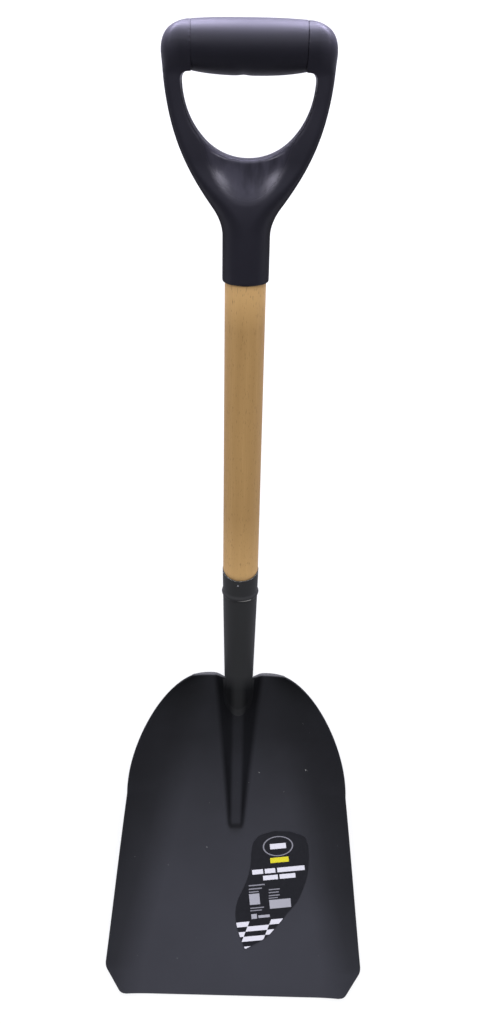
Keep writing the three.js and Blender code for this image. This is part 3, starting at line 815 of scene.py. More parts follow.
def socket_wall(inset, turns, shares):
    """Rows of points of the socket's wall from its foot to its rim."""
    foot = foot_stations(inset, turns)
    rows = []
    for share in shares:
        station = mix(foot, rim_station(turns), share)
        radius = socket_radius(station) + bead_rise(station) - inset
        rows.append(tube_points(radius, turns, station))
    return np.array(rows)


def make_socket(paint, edge_paint):
    turns = np.linspace(-math.pi + SEAM_HALF_ANGLE, math.pi - SEAM_HALF_ANGLE, 2 * FINE_SIDES)
    lower = np.linspace(0, SOCKET_ROW_SHARE, SOCKET_FOOT_ROWS)
    upper = np.linspace(SOCKET_ROW_SHARE, 1, SOCKET_RIM_ROWS)
    shares = np.concatenate([lower, upper[1:]])
    outside = socket_wall(0, turns, shares)
    inside = socket_wall(SOCKET_WALL, turns, shares)
    points, faces = sheet_points_and_faces(outside, inside)
    socket = make_piece("socket_tube", points, faces, "socket", paint)
    socket.data.materials.append(edge_paint)
    round_edges(socket, SOCKET_EDGE_ROUND)


# Rivet, pin and welds
def make_rivet(brightened):
    station = SOCKET_RIM_STATION - RIVET_BELOW_RIM
    seat = socket_radius(station)
    head = dome(RIVET_HEAD_RADIUS, seat, seat + RIVET_HEAD_HEIGHT)
    foot = [(radius, -height) for radius, height in reversed(head)]
    points, faces = lathe([*foot, (RIVET_RADIUS, -seat), (RIVET_RADIUS, seat), *head], SMALL_SIDES)
    placed = along_front(points, station, RIVET_TURN)
    make_piece("rivet_heads", placed, faces, "socket_rivet", brightened)


def make_pin(steel):
    seat = COLLAR_RADIUS
    head = dome(PIN_HEAD_RADIUS, seat + PIN_HEAD_HEIGHT / 2, seat + PIN_HEAD_HEIGHT)
    shank = [(0, seat - PIN_DEPTH), (PIN_RADIUS, seat - PIN_DEPTH), (PIN_RADIUS, seat)]
    points, faces = lathe([*shank, (PIN_HEAD_RADIUS, seat), *head], SMALL_SIDES)
    placed = along_front(points, PIN_STATION, math.pi)
    make_piece("pin_head", placed, faces, "grip_pin", steel)


def weld_end_turn():
    """The turn at which the socket's foot leaves the blade at its rear edge."""
    turns = np.linspace(0, RIGHT_ANGLE, SEARCH_STEPS)
    foot = socket_points(turns, foot_stations(0, turns))
    return turns[np.argmax(SHOULDER_Y - foot[:, 1] < WELD_END_STATION)]


def make_weld(side, name, paint):
    """A fillet between the socket's foot and the blade, from the foot's tip back to the treads."""
    shares = np.linspace(0, 1, WELD_POINTS)
    turns = side * weld_end_turn() * shares
    stations = foot_stations(0, turns)
    foot = socket_points(turns, stations)
    forward = unit(np.gradient(foot[:, :2], axis=0))
    outward = side * np.stack((forward[:, 1], -forward[:, 0]), -1)
    reach = mix(WELD_TIP_REACH, WELD_SIDE_REACH, smooth(2 * shares))
    high = socket_points(turns, stations + reach)
    away = foot[:, :2] + outward * reach[:, None]
    low = np.column_stack((away, top_height(away[:, 0], SHOULDER_Y - away[:, 1])))
    run = np.cumsum(np.linalg.norm(np.gradient(foot, axis=0), axis=-1))
    ripple = WELD_RIPPLE * smooth(2 * shares) * np.abs(np.sin(math.pi * run / WELD_RIPPLE_LENGTH))
    fill = (WELD_FILL + ripple)[:, None]
    corner = foot + fill * np.column_stack((outward, np.ones(len(shares))))
    top = np.stack([bezier(points, WELD_ROWS) for points in zip(high, corner, low)])
    rows = np.linspace(0, 1, WELD_ROWS)
    into_tube = np.column_stack((outward, 0 * shares))[:, None, :] * (1 - rows)[:, None]
    into_blade = np.array((0, 0, 1)) * rows[:, None]
    weld_points, faces = sheet_points_and_faces(top, top - WELD_SINK * (into_tube + into_blade))
    make_piece(name + "_bead", weld_points, faces, name, paint)


# Shape of the wood
def make_wood(wood):
    def in_socket(station):
        return socket_radius(station) - SOCKET_WALL - SEAT_GAP

    head = BORE_END_STATION - SEAT_GAP
    foot = WOOD_FOOT_STATION
    below = [
        (0, foot),
        (in_socket(foot) - WOOD_EDGE_RADIUS, foot),
        (in_socket(foot), foot + WOOD_EDGE_RADIUS),
    ]
    run = np.linspace(0, 1, WOOD_SHOULDER_RINGS)
    eased = mix(in_socket(SOCKET_RIM_STATION), WOOD_RADIUS, np.sin(run * RIGHT_ANGLE))
    shoulder = list(zip(eased, SOCKET_RIM_STATION + run * WOOD_SHOULDER_RUN))
    above = [
        (WOOD_RADIUS, head - WOOD_EDGE_RADIUS),
        (WOOD_RADIUS - WOOD_EDGE_RADIUS, head),
        (0, head),
    ]
    points, faces = lathe([*below, *shoulder, *above])
    at_rim = np.abs(points[:, 2] - SOCKET_RIM_STATION) <= WOOD_SHOULDER_RUN
    points[:, 2] += at_rim * points[:, 1] / SOCKET_RIM_RADIUS * SOCKET_RIM_SLANT
    placed = onto_shaft_line(points)
    make_piece("wood_stick", placed, faces, "handle_shaft", wood)


# Shape of the yoke
def yoke_outline():
    """The yoke's right side as half-width against station, with its collar drawn on downwards."""
    flank = (FLANK_START_HALF_WIDTH, FLANK_START_STATION)
    shoulder = (ARM_SPREAD, ARM_TOP_STATION)
    crown = BAR_STATION + BAR_SEAM_RADIUS * math.sin(CROWN_TURN)
    top = (BAR_SEAM_HALF_SPAN + BAR_END_ROUND, crown)
    neck = (COLLAR_RADIUS, COLLAR_TOP_STATION)
    neck_bend = (COLLAR_RADIUS, mix(COLLAR_TOP_STATION, FLANK_START_STATION, 1 / 2))
    parts = (
        [(COLLAR_RADIUS, COLLAR_FOOT_STATION - 2 * COLLAR_RADIUS)],
        bezier([neck, neck_bend, flank], FLANK_POINTS),
        side_curve(flank, shoulder, FLANK_CURVE_SHARES, FLANK_POINTS)[1:],
        bezier([shoulder, (ARM_SPREAD, crown), top], FLANK_POINTS)[1:],
    )
    return np.concatenate(parts)


def opening_outline():
    """The hand opening's right side, from its foot up to the bar."""
    half = HAND_OPENING_HALF_WIDTH
    side_top = (half, BAR_UNDERSIDE - HAND_OPENING_CORNER_ROUND)
    corner_end = (half - HAND_OPENING_CORNER_ROUND, BAR_UNDERSIDE)
    parts = (
        side_curve((0, HAND_OPENING_FOOT), side_top, OPENING_CURVE_SHARES, OPENING_POINTS),
        bezier([side_top, (half, BAR_UNDERSIDE), corner_end], OPENING_POINTS)[1:],
    )
    return np.concatenate(parts)


def outline_distance(across, station, side):
    """Distance to a closed outline given by its right side, negative inside it."""
    outline = np.concatenate([side, side[::-1] * (-1, 1)])
    nearest = np.full(across.shape, np.inf)
    inside = np.zeros(across.shape, bool)
    for (x0, y0), (x1, y1) in zip(outline, np.roll(outline, -1, axis=0)):
        run = (x1 - x0) ** 2 + (y1 - y0) ** 2
        if run == 0:
            continue
        share = clamp_share(((across - x0) * (x1 - x0) + (station - y0) * (y1 - y0)) / run)
        nearest = np.minimum(
            nearest, np.hypot(across - mix(x0, x1, share), station - mix(y0, y1, share))
        )
        if y0 != y1:
            crosses = (y0 > station) != (y1 > station)
            inside ^= crosses & (across < x0 + (station - y0) * (x1 - x0) / (y1 - y0))
    return np.where(inside, -nearest, nearest)


def blend_out(first, second, run):
    """The larger of two distances, eased over a run: what both solids share, with a round edge."""
    overlap = np.maximum(run - np.abs(first - second), 0) / run
    return np.maximum(first, second) + (overlap / 2) ** 2 * run


def blend_in(first, second, run):
    """The smaller of two distances, eased over a run: two solids joined with a fillet."""
    return -blend_out(-first, -second, run)


def rounded_common(first, second, radius):
    """What two solids share, with its edge rounded to a radius."""
    a, b = first + radius, second + radius
    outside = np.hypot(np.maximum(a, 0), np.maximum(b, 0))
    return outside + np.minimum(np.maximum(a, b), 0) - radius


def web_share(station):
    """0 at the collar's top, 1 at the hand opening's foot."""
    return (station - COLLAR_TOP_STATION) / (HAND_OPENING_FOOT - COLLAR_TOP_STATION)


def yoke_half_depth(across, station):
    """Half the yoke's thickness, with the thumb hollows in its faces."""
    arm = (station - HAND_OPENING_FOOT) / (HOLLOW_STATION - HAND_OPENING_FOOT)
    thinning = smooth(web_share(station)) ** WEB_THINNING_POWER
    face = mix(mix(COLLAR_RADIUS, WEB_DEPTH / 2, thinning), ARM_DEPTH / 2, smooth(arm))
    half_height = HOLLOW_STATION - HOLLOW_FOOT_STATION
    reach = np.hypot(across / HOLLOW_HALF_WIDTH, (station - HOLLOW_STATION) / half_height)
    rise = sum(share * reach**power for share, power in HOLLOW_RISE_SHARES)
    return blend_in(face, face + HOLLOW_DEPTH * (rise - 1), HOLLOW_CREASE)


def yoke_edge_round(across, station):
    """How round the outer edges are: as the collar, then flatter, then fuller but for the seam."""
    knob = (station - BAR_STATION + KNOB_RUN) / KNOB_RUN
    from_seam = (np.abs(across) - BAR_SEAM_HALF_SPAN) / (ARM_SPREAD - BAR_SEAM_HALF_SPAN)
    at_arm = mix(COLLAR_RADIUS, ARM_EDGE_ROUND, smooth(web_share(station)))
    return mix(at_arm, KNOB_ROUND * smooth(from_seam), smooth(knob))


def yoke_distance(across, depth, station):
    """Distance from the yoke's surface in the shaft line's own frame, negative inside it."""
    flat = (across[:, 0, :], station[:, 0, :])
    half_depth = yoke_half_depth(*flat)
    layers = (
        outline_distance(*flat, yoke_outline()),
        outline_distance(*flat, opening_outline()),
        half_depth,
        np.hypot(*np.gradient(half_depth, NET_CELL)),
    )
    outer, opening, half_depth, slope = (layer[:, None, :] for layer in layers)

    from_bar = np.hypot(station - BAR_STATION, depth)
    face = (np.abs(depth) - half_depth) / np.hypot(1, slope)
    arms = np.maximum(face, station - BAR_STATION)
    face = blend_in(arms, from_bar - BAR_SEAM_RADIUS, KNOB_BLEND)
    edge_round = np.minimum(yoke_edge_round(across, station), half_depth)
    body = rounded_common(outer, face, edge_round)
    to_bar = BAR_UNDERSIDE - station
    up_arm = smooth((station - HAND_OPENING_FOOT) / LIP_RUN)
    lip_round = mix(LIP_ROUND, LIP_ARM_ROUND, up_arm) * smooth(to_bar / KNOB_RUN)
    body = rounded_common(body, -opening, lip_round)

    under_bar = BAR_UNDERSIDE - HAND_OPENING_CORNER_ROUND
    sleeve_space = np.maximum(np.abs(across) - BAR_SEAM_HALF_SPAN, under_bar - station)
    body = np.maximum(body, -sleeve_space)
    core_end = BAR_SEAM_HALF_SPAN + BAR_CORE_OVERLAP
    core = np.maximum(from_bar - BAR_CORE_RADIUS, np.abs(across) - core_end)
    body = np.minimum(body, core)
    body = rounded_common(body, COLLAR_FOOT_STATION - station, COLLAR_FOOT_ROUND)
    bore = np.maximum(np.hypot(across, depth) - WOOD_RADIUS - SEAT_GAP, station - BORE_END_STATION)
    return np.maximum(body, -bore)


def window(values, starts, sizes):
    return values[tuple(slice(start, start + size) for start, size in zip(starts, sizes))]


def surface_net(field, corner, cell):
    """Points and quads of the surface where a sampled distance is 0, with a point in each cell."""
    sizes = np.array(field.shape)
    cells = sizes - 1
    total, count = np.zeros((*cells, 3)), np.zeros(cells)
    steps = np.eye(3, dtype=int)
    crossings = []
    for axis, step in enumerate(steps):
        near, far = window(field, (0, 0, 0), sizes - step), window(field, step, sizes - step)
        crossed = (near < 0) != (far < 0)
        share = np.where(crossed, near / np.where(crossed, near - far, 1), 0)
        second, third = steps[(axis + 1) % 3], steps[(axis + 2) % 3]
        for start in (0 * step, second, third, second + third):
            hit = window(crossed, start, cells)
            offset = start + window(share, start, cells)[..., None] * step
            total += hit[..., None] * offset
            count += hit
        crossings.append((crossed, near < 0, second, third))

    found = np.argwhere(count > 0)
    spots = tuple(found.T)
    number = np.full(cells, -1)
    number[spots] = np.arange(len(found))
    points = corner + cell * (found + total[spots] / count[spots][:, None])

    faces = []
    for crossed, near_inside, second, third in crossings:
        edge = np.argwhere(crossed)
        fits = ((edge - second - third >= 0) & (edge < cells)).all(1)
        edge = edge[fits]
        around = (edge - second - third, edge - third, edge, edge - second)
        quads = np.stack([number[tuple(place.T)] for place in around], -1)
        outward = near_inside[tuple(edge.T)]
        faces.append(np.where(outward[:, None], quads, quads[:, ::-1]))
    return points, np.concatenate(faces)


def make_yoke(plastic):
    margin = NET_MARGIN_CELLS * NET_CELL
    low = np.array((-ARM_SPREAD, -COLLAR_RADIUS, COLLAR_FOOT_STATION)) - margin
    high = np.array((ARM_SPREAD, COLLAR_RADIUS, BAR_STATION + BAR_SEAM_RADIUS)) + margin
    places = [np.arange(start, end, NET_CELL) for start, end in zip(low, high)]
    field = yoke_distance(*np.meshgrid(*places, indexing="ij"))
    points, faces = surface_net(field, low, NET_CELL)

    from_seam = np.abs(np.abs(points[:, 0]) - BAR_SEAM_HALF_SPAN)
    at_seam = (points[:, 2] > BAR_UNDERSIDE) & (from_seam < NET_CELL / 2)
    points[at_seam, 0] = np.sign(points[at_seam, 0]) * BAR_SEAM_HALF_SPAN
    placed = onto_shaft_line(points)
    yoke = make_piece("yoke_moulding", placed, faces, "grip_yoke", plastic)
    yoke.data.shade_smooth()
    free = yoke.vertex_groups.new(name="free of the seam")
    free.add(np.flatnonzero(~at_seam).tolist(), 1, "REPLACE")
    ease = yoke.modifiers.new("eased facets", "SMOOTH")
    ease.vertex_group = free.name
    ease.factor = NET_EASING
    ease.iterations = NET_EASING_ROUNDS


# Shape of the sleeve on the bar
def bar_fullness(across):
    """How full the bar is at a place across it, from 1 at its middle to 0 at the yoke."""
    return 1 - clamp_share(np.abs(across) / BAR_SEAM_HALF_SPAN) ** BAR_BULGE_POWER


def make_sleeve(plastic):
    end = BAR_SEAM_HALF_SPAN - SLEEVE_GAP
    bore = BAR_CORE_RADIUS + SEAT_GAP
    across = np.linspace(-end, end, SLEEVE_RINGS)
    skin = mix(BAR_SEAM_RADIUS, BAR_MIDDLE_RADIUS, bar_fullness(across)) - SKIN_INSET
    points, faces = lathe([(bore, -end), *zip(skin, across), (bore, end), (bore, -end)])
    place, towards_opening = points[:, 2], points[:, 0]
    on_skin = np.hypot(points[:, 0], points[:, 1]) > bore + SEAT_GAP
    sag = BAR_SAG * bar_fullness(place)
    nick_share = np.exp(-(((place - BAR_NICK_ASIDE) / (BAR_NICK_WIDTH / 2)) ** 2))
    nick = BAR_NICK_DEPTH * nick_share * clamp_share(towards_opening / BAR_SEAM_RADIUS)
    down = towards_opening + on_skin * (sag - nick)
    laid = np.stack((place, points[:, 1], BAR_STATION - down), -1)
    placed = onto_shaft_line(laid)
    sleeve = make_piece("bar_sleeve", placed, faces, "grip_sleeve", plastic)
    round_edges(sleeve, SLEEVE_EDGE_ROUND)


# Shape of the label
def make_label(vinyl):
    along_places, left_shares, right_shares = zip(*LABEL_EDGE_SHARES)
    along = np.linspace(0, 1, LABEL_ROWS) ** LABEL_ROW_POWER
    left = through(left_shares, along_places, along)
    right = through(right_shares, along_places, along)
    shares = np.linspace(0, 1, LABEL_COLUMNS)
    across = LABEL_LEFT_ASIDE + LABEL_WIDTH * mix(left[:, None], right[:, None], shares)
    station = LABEL_START_STATION + LABEL_LENGTH * along[:, None] + 0 * across

    def sheet_at(height):
        top = back_height(across, station) + BLADE_SHEET + SEAT_GAP / 2 + height
        return np.stack((across, SHOULDER_Y - station, top), -1)

    points, faces = sheet_points_and_faces(sheet_at(LABEL_SHEET), sheet_at(0))
    make_piece("label_sheet", points, faces, "blade_label", vinyl)


# Shader nodes
def colour(name):
    """A colour of the table as the linear colour that shaders take."""
    shares = [byte / FULL_BYTE for byte in COLOURS[name]]
    return (*Color(shares).from_srgb_to_scene_linear(), 1)


def put(tree, kind, inputs=(), **settings):
    """Adds a node. Inputs are values or other nodes' output sockets, by socket name or number."""
    node = tree.nodes.new("ShaderNode" + kind)
    for name, value in settings.items():
        setattr(node, name, value)
    for key, value in dict(inputs).items():
        if isinstance(value, bpy.types.NodeSocket):
            tree.links.new(value, node.inputs[key])
        else:
            node.inputs[key].default_value = value
    return node


def join(kind, inputs, output=0, **settings):
    """Adds a node to the tree that holds the sockets among its inputs, and gives its output."""
    socket = next(value for value in inputs.values() if isinstance(value, bpy.types.NodeSocket))
    return put(socket.id_data, kind, inputs, **settings).outputs[output]


def calculate(operation, *values):
    return join("Math", dict(enumerate(values)), operation=operation)


def times(*values):
    return reduce(lambda first, second: calculate("MULTIPLY", first, second), values)


def largest(*values):
    return reduce(lambda first, second: calculate("MAXIMUM", first, second), values)


def measured(operation, *vectors):
    """A number from one vector or two, such as a length."""
    return join("VectorMath", dict(enumerate(vectors)), "Value", operation=operation)


def within(value, middle, half_width):
    """1 where the value is within the half-width of the middle, 0 elsewhere."""
    return calculate("COMPARE", value, middle, half_width)


def ramp(value, low, high, start=0.0, end=1.0):
    """Maps a value from the range low..high to start..end and holds it there."""
    inputs = {"Value": value, "From Min": low, "From Max": high, "To Min": start, "To Max": end}
    return join("MapRange", inputs)


def object_place(tree, location=(0, 0, 0), rotation=(0, 0, 0), scale=(1, 1, 1)):
    """Coordinates on the object, in a frame with this place, turn and size."""
    source = put(tree, "TexCoord").outputs["Object"]
    inputs = {"Vector": source, "Location": location, "Rotation": rotation, "Scale": scale}
    return join("Mapping", inputs, vector_type="TEXTURE")


def shaft_place(tree, origin=(0, 0, 0), scale=(1, 1, 1)):
    """Coordinates in the shaft line's frame, from an origin given in that frame."""
    return object_place(tree, tuple(SHAFT_PLACE @ Vector(origin)), SHAFT_TURN.to_euler(), scale)


def axes(place):
    """The three coordinates of a place."""
    return put(place.id_data, "SeparateXYZ", {"Vector": place}).outputs


def from_middle(place):
    """Distance to the left or right of the shovel's middle."""
    return calculate("ABSOLUTE", axes(place)["X"])


def scaled(place, scale):
    return join("Mapping", {"Vector": place, "Scale": scale})


def noise(place, scale, detail, stretch=None):
    """Noise of a scale, drawn out on the axes where the stretch is under 1."""
    vector = scaled(place, stretch) if stretch else place
    inputs = {"Vector": vector, "Scale": scale, "Detail": detail, "Roughness": NOISE_ROUGHNESS}
    return join("TexNoise", inputs, "Fac")


def blend(share, first, second):
    """Mixes two colours, each a name in the table or a socket."""
    node = put(share.id_data, "Mix", data_type="RGBA")
    wanted = {"Factor": share, "A": first, "B": second}
    for socket in (socket for socket in node.inputs if socket.enabled):
        value = wanted[socket.name]
        if isinstance(value, str):
            socket.default_value = colour(value)
        else:
            share.id_data.links.new(value, socket)
    return next(socket for socket in node.outputs if socket.enabled)


def mixed_shader(share, first, second):
    return join("MixShader", {0: share, 1: first, 2: second})


def white(tree, kind):
    return put(tree, kind, {"Color": colour("white"), "Strength": 1.0}).outputs[0]


def finish_shader(surface, height, depth):
    """Gives the material its surface, with a relief of this height and depth."""
    normal = join("Bump", {"Height": height, "Distance": depth, "Strength": 1.0})
    shader = join("BsdfPrincipled", {**surface, "Normal": normal})
    put(shader.id_data, "OutputMaterial", {"Surface": shader})


def new_material(name, build):
    """A material whose nodes a function adds to its empty tree."""
    material = bpy.data.materials.new(name)
    material.use_nodes = True
    material.node_tree.nodes.clear()
    build(material.node_tree)
    return material


# Painted steel
def paint_surface(place, tone, finish, dulled=0.0):
    """Satin stove paint: a faint mottle, an orange-peel skin and a few light specks."""
    roughness, gloss = finish
    mottle = noise(place, *PAINT_MOTTLE)
    lighter = blend(ramp(mottle, *MOTTLE_LIGHTENING), tone, "paint_light")
    specks = ramp(noise(place, *PAINT_SPECKS), *SPECK_RANGE)
    unevenness = (roughness + change for change in MOTTLE_ROUGHENING)
    uneven = ramp(mottle, *WIDE_RANGE, *unevenness)
    surface = {
        "Base Color": blend(specks, lighter, "paint_speck"),
        "Roughness": calculate("MULTIPLY_ADD", dulled, SHADE_ROUGHNESS, uneven),
        "Specular IOR Level": gloss,
    }
    finish_shader(surface, noise(place, *PAINT_PEEL), PAINT_PEEL_DEPTH)


def half_width_ramp(along, run, rear_width, front_width):
    """Half of a width that changes evenly over a run from the blade's rear edge."""
    return ramp(along, SHOULDER_Y, SHOULDER_Y - run, rear_width / 2, front_width / 2)


def valley_shade_share(along, aside):
    """1 in the valleys beside the rib, which painted shade darkens, falling to 0 on the crest and
    the pan.
    """
    rib_half = half_width_ramp(along, RIB_LENGTH, RIB_REAR_WIDTH, RIB_FRONT_WIDTH)
    crest_half = half_width_ramp(along, SADDLE_CREST_RUN, SADDLE_CREST_WIDTH, RIB_CREST_WIDTH)
    from_pan = ramp(calculate("SUBTRACT", rib_half, aside), *VALLEY_SHADE_FROM_PAN)
    from_crest = ramp(calculate("SUBTRACT", aside, crest_half), *VALLEY_SHADE_FROM_CREST)
    rib_end = SHOULDER_Y - RIB_LENGTH
    return times(from_pan, from_crest, ramp(along, rib_end, rib_end + RIB_END_RUN))


def paint_blade(tree):
    """Black paint with painted light and shade: lighter from the rear of the blade to its tip,
    darker on its sides and in the valleys beside the rib, and a painted highlight on the treads.
    """
    place = object_place(tree)
    along, aside = axes(place)["Y"], from_middle(place)
    # Painted light: the paint runs from dark at the rear to lighter at the tip
    brightened = blend(ramp(along, *PAINTED_LIGHT_TO_MIDDLE), "blade_rear", "blade_middle")
    tone = blend(ramp(along, *PAINTED_LIGHT_TO_TIP), brightened, "blade_tip")
    flat_half = half_width_ramp(along, WIDEST_STATION, FLAT_WIDTH_REAR, FLAT_WIDTH_FRONT)
    # Painted shade: darker towards the raised sides
    on_side = ramp(calculate("SUBTRACT", aside, flat_half), *SIDE_SHADE)
    # Painted shade in the valleys beside the rib
    painted_shade = valley_shade_share(along, aside)
    shaded = blend(painted_shade, blend(on_side, tone, "blade_side"), "painted_shade")
    # Painted highlight on the treads' turned edge
    tread_lit = blend(ramp(along, *TREAD_HIGHLIGHT), shaded, "tread_highlight")
    paint_surface(place, tread_lit, BLADE_FINISH, largest(painted_shade, on_side))


def paint_blade_edge(tree):
    """The blade's cut edge: grey in places, more towards the rear, partly paint abraded through and
    partly a painted highlight.
    """
    place = object_place(tree)
    # Grey where the paint is abraded, which also serves as a painted highlight along the edge
    wear_and_highlight = ramp(noise(place, *EDGE_WEAR_AND_HIGHLIGHT), *EDGE_WEAR_AND_HIGHLIGHT_RANGE)
    towards_rear = ramp(axes(place)["Y"], 0, SHOULDER_Y, *EDGE_WEAR_AND_HIGHLIGHT_SHARES)
    tone = blend(times(wear_and_highlight, towards_rear), "blade_edge", "blade_edge_worn_and_lit")
    paint_surface(place, tone, EDGE_FINISH)


def paint_socket(tree):
    """Semi-gloss black paint, with painted shade at the foot next to the blade and a painted
    highlight along the bead.
    """
    place = object_place(tree)
    # Painted shade at the socket's foot next to the blade
    near_blade = ramp(axes(place)["Y"], *SOCKET_SHADE_RUN)
    painted_shade = times(near_blade, ramp(from_middle(place), *SOCKET_SHADE_ASIDE))
    on_shaft = axes(shaft_place(tree))
    # Painted highlight along the bead
    bead_highlight = times(
        within(on_shaft["Z"], *BEAD_HIGHLIGHT_STATION),
        ramp(on_shaft["X"], *BEAD_HIGHLIGHT_LEFT_END),
        ramp(on_shaft["X"], *BEAD_HIGHLIGHT_RIGHT_END),
        ramp(on_shaft["Y"], 0, -SOCKET_RIM_RADIUS / 2),
    )
    highlighted = blend(bead_highlight, blend(painted_shade, "socket", "painted_shade"), "socket_bead_highlight")
    paint_surface(place, highlighted, SOCKET_FINISH, painted_shade)


def chip_rim(tree):
    """The socket's cut edge: paint chipped to bright steel."""
    place = object_place(tree)
    chips = ramp(noise(place, *RIM_CHIPS), *RIM_CHIP_RANGE)
    paint_surface(place, blend(chips, "rim", "rim_chipped"), EDGE_FINISH)


# Bright steel
def rub_rivet(tree):
    """A painted head rubbed to bright steel on its crown."""
    seat = (
        SOCKET_RIM_RADIUS * math.sin(RIVET_TURN),
        -SOCKET_RIM_RADIUS * math.cos(RIVET_TURN),
        SOCKET_RIM_STATION - RIVET_BELOW_RIM,
    )
    place = shaft_place(tree, seat)
    from_axis = measured("LENGTH", scaled(place, (1, 0, 1)))
    brightened = ramp(from_axis, *RIVET_CROWN)
    surface = {
        "Base Color": blend(brightened, "rivet", "rivet_bright"),
        "Metallic": brightened,
        "Roughness": ramp(brightened, 0, 1, *RIVET_ROUGHNESS),
    }
    finish_shader(surface, noise(place, *RIVET_SKIN), STEEL_SCRATCH_DEPTH)


def plate_steel(tree):
    """Bright zinc-plated steel with faint scratches."""
    scratch = noise(object_place(tree), *STEEL_SCRATCHES)
    surface = {
        "Base Color": blend(scratch, "steel", "steel_light"),
        "Metallic": 1.0,
        "Roughness": ramp(scratch, *WIDE_RANGE, *STEEL_ROUGHNESS),
    }
    finish_shader(surface, scratch, STEEL_SCRATCH_DEPTH)


# Plastic
def plastic_surface(place, base, lighter, roughness):
    """Moulded black plastic with a fine spark-eroded grain."""
    surface = {
        "Base Color": blend(ramp(noise(place, *PLASTIC_CLOUD), *WIDE_RANGE), base, lighter),
        "Roughness": roughness,
        "Specular IOR Level": PLASTIC_GLOSS,
        "Specular Tint": PLASTIC_TINT,
    }
    finish_shader(surface, noise(place, *PLASTIC_GRAIN), PLASTIC_GRAIN_DEPTH)


def wall_share(tree, station):
    """1 on the walls below the bar, which don't face the shaft's front or back, 0 elsewhere."""
    normal = put(tree, "TexCoord").outputs["Normal"]
    front = SHAFT_PLACE.to_3x3() @ Vector((0, -1, 0))
    turn = calculate("ABSOLUTE", measured("DOT_PRODUCT", normal, front))
    return times(ramp(turn, *WALL_TURN), ramp(station, *WALL_STATION))


def mould_yoke(tree):
    """Satin black plastic, glossier in the hollows, with a painted sheen in paler streaks there, a
    painted highlight on the knobs and painted shade on the walls below the bar.
    """
    place = shaft_place(tree)
    station = axes(place)["Z"]
    size = (HOLLOW_HALF_WIDTH, 1, HOLLOW_STATION - HOLLOW_FOOT_STATION)
    reach = measured("LENGTH", shaft_place(tree, (0, 0, HOLLOW_STATION), size))
    on_wall = wall_share(tree, station)
    polished = ramp(reach, *HOLLOW_POLISH)
    roughness = calculate("MULTIPLY_ADD", on_wall, WALL_ROUGHNESS, polished)
    streaks = ramp(noise(place, *HOLLOW_STREAKS), *NARROW_RANGE, *HOLLOW_STREAK_SHARES)
    # Painted sheen: paler streaks in the hollow
    in_hollow = times(ramp(reach, *HOLLOW_SHEEN), streaks)
    # Painted highlight on the knobs
    on_knob = times(
        ramp(from_middle(place), *KNOB_HIGHLIGHT_ASIDE), ramp(station, *KNOB_HIGHLIGHT_STATION)
    )
    brightened = largest(in_hollow, on_knob)
    # Painted shade: the walls darker
    base = blend(on_wall, blend(brightened, "yoke", "yoke_sheen"), "yoke_wall_shade")
    lighter = blend(on_wall, blend(brightened, "yoke_light", "yoke_sheen_light"), "yoke_wall_shade_light")
    plastic_surface(place, base, lighter, roughness)


def mould_sleeve(tree):
    """Satin black plastic, duller than the yoke."""
    place = shaft_place(tree)
    roughness = ramp(noise(place, *SLEEVE_CLOUD), *WIDE_RANGE, *SLEEVE_ROUGHNESS)
    plastic_surface(place, "sleeve", "sleeve_light", roughness)


# Wood
def grain_wood(tree):
    """Light wood: fine grain along the shaft, short pores, small spots, and painted light that
    makes its ends paler.
    """
    place = shaft_place(tree)
    grain = noise(place, *WOOD_GRAIN)
    bands = ramp(noise(place, *WOOD_BANDS), *WIDE_RANGE)
    pores = ramp(noise(place, *WOOD_PORES), *WOOD_PORE_SHARES)
    spots = ramp(noise(place, *WOOD_SPOTS), *WOOD_SPOT_SHARES)
    banded = blend(bands, "wood_dark", "wood_light")
    grained = blend(ramp(grain, *NARROW_RANGE), banded, "wood_grain")
    station = axes(place)["Z"]
    # Painted light: the wood paler towards its ends
    near_ends = largest(ramp(station, *WOOD_PALE_HEAD), ramp(station, *WOOD_PALE_FOOT))
    pored = blend(pores, blend(near_ends, grained, "wood_lit_ends"), "wood_pore")
    surface = {
        "Base Color": blend(spots, pored, "wood_spot"),
        "Roughness": ramp(grain, *WIDE_RANGE, *WOOD_ROUGHNESS),
        "Specular IOR Level": WOOD_GLOSS,
    }
    finish_shader(surface, grain, WOOD_GRAIN_DEPTH)


# Printed vinyl
def printed_bars(aside, down, bars):
    """1 on the printed bars and 0 elsewhere."""
    marks = []
    for left, right, top, foot in bars:
        in_width = within(aside, (left + right) / 2, (right - left) / 2)
        in_height = within(down, (top + foot) / 2, (foot - top) / 2)
        marks.append(times(in_width, in_height))
    return largest(*marks)


def printed_ring(aside, down):
    across = calculate("DIVIDE", aside, RING_HALF_WIDTH)
    along = calculate("DIVIDE", down, RING_HALF_HEIGHT)
    place = join("CombineXYZ", {"X": across, "Y": along})
    return within(measured("LENGTH", place), 1, RING_LINE_SHARE)


def printed_checker(aside, down):
    """A slanted checker band at the label's pointed end."""
    slanted = calculate("MULTIPLY_ADD", down, CHECKER_SLANT, aside)
    reach = CHECKER_COLUMNS_EACH_WAY * CHECKER_COLUMN
    columns = (0, 2 * CHECKER_COLUMNS_EACH_WAY)
    column = ramp(slanted, CHECKER_ASIDE - reach, CHECKER_ASIDE + reach, *columns)
    row = calculate("DIVIDE", calculate("SUBTRACT", down, CHECKER_TOP), CHECKER_ROW)
    place = join("CombineXYZ", {"X": column, "Y": row})
    squares = join("TexChecker", {"Vector": place, "Scale": 1.0}, "Fac")
    return times(squares, calculate("GREATER_THAN", down, CHECKER_TOP))


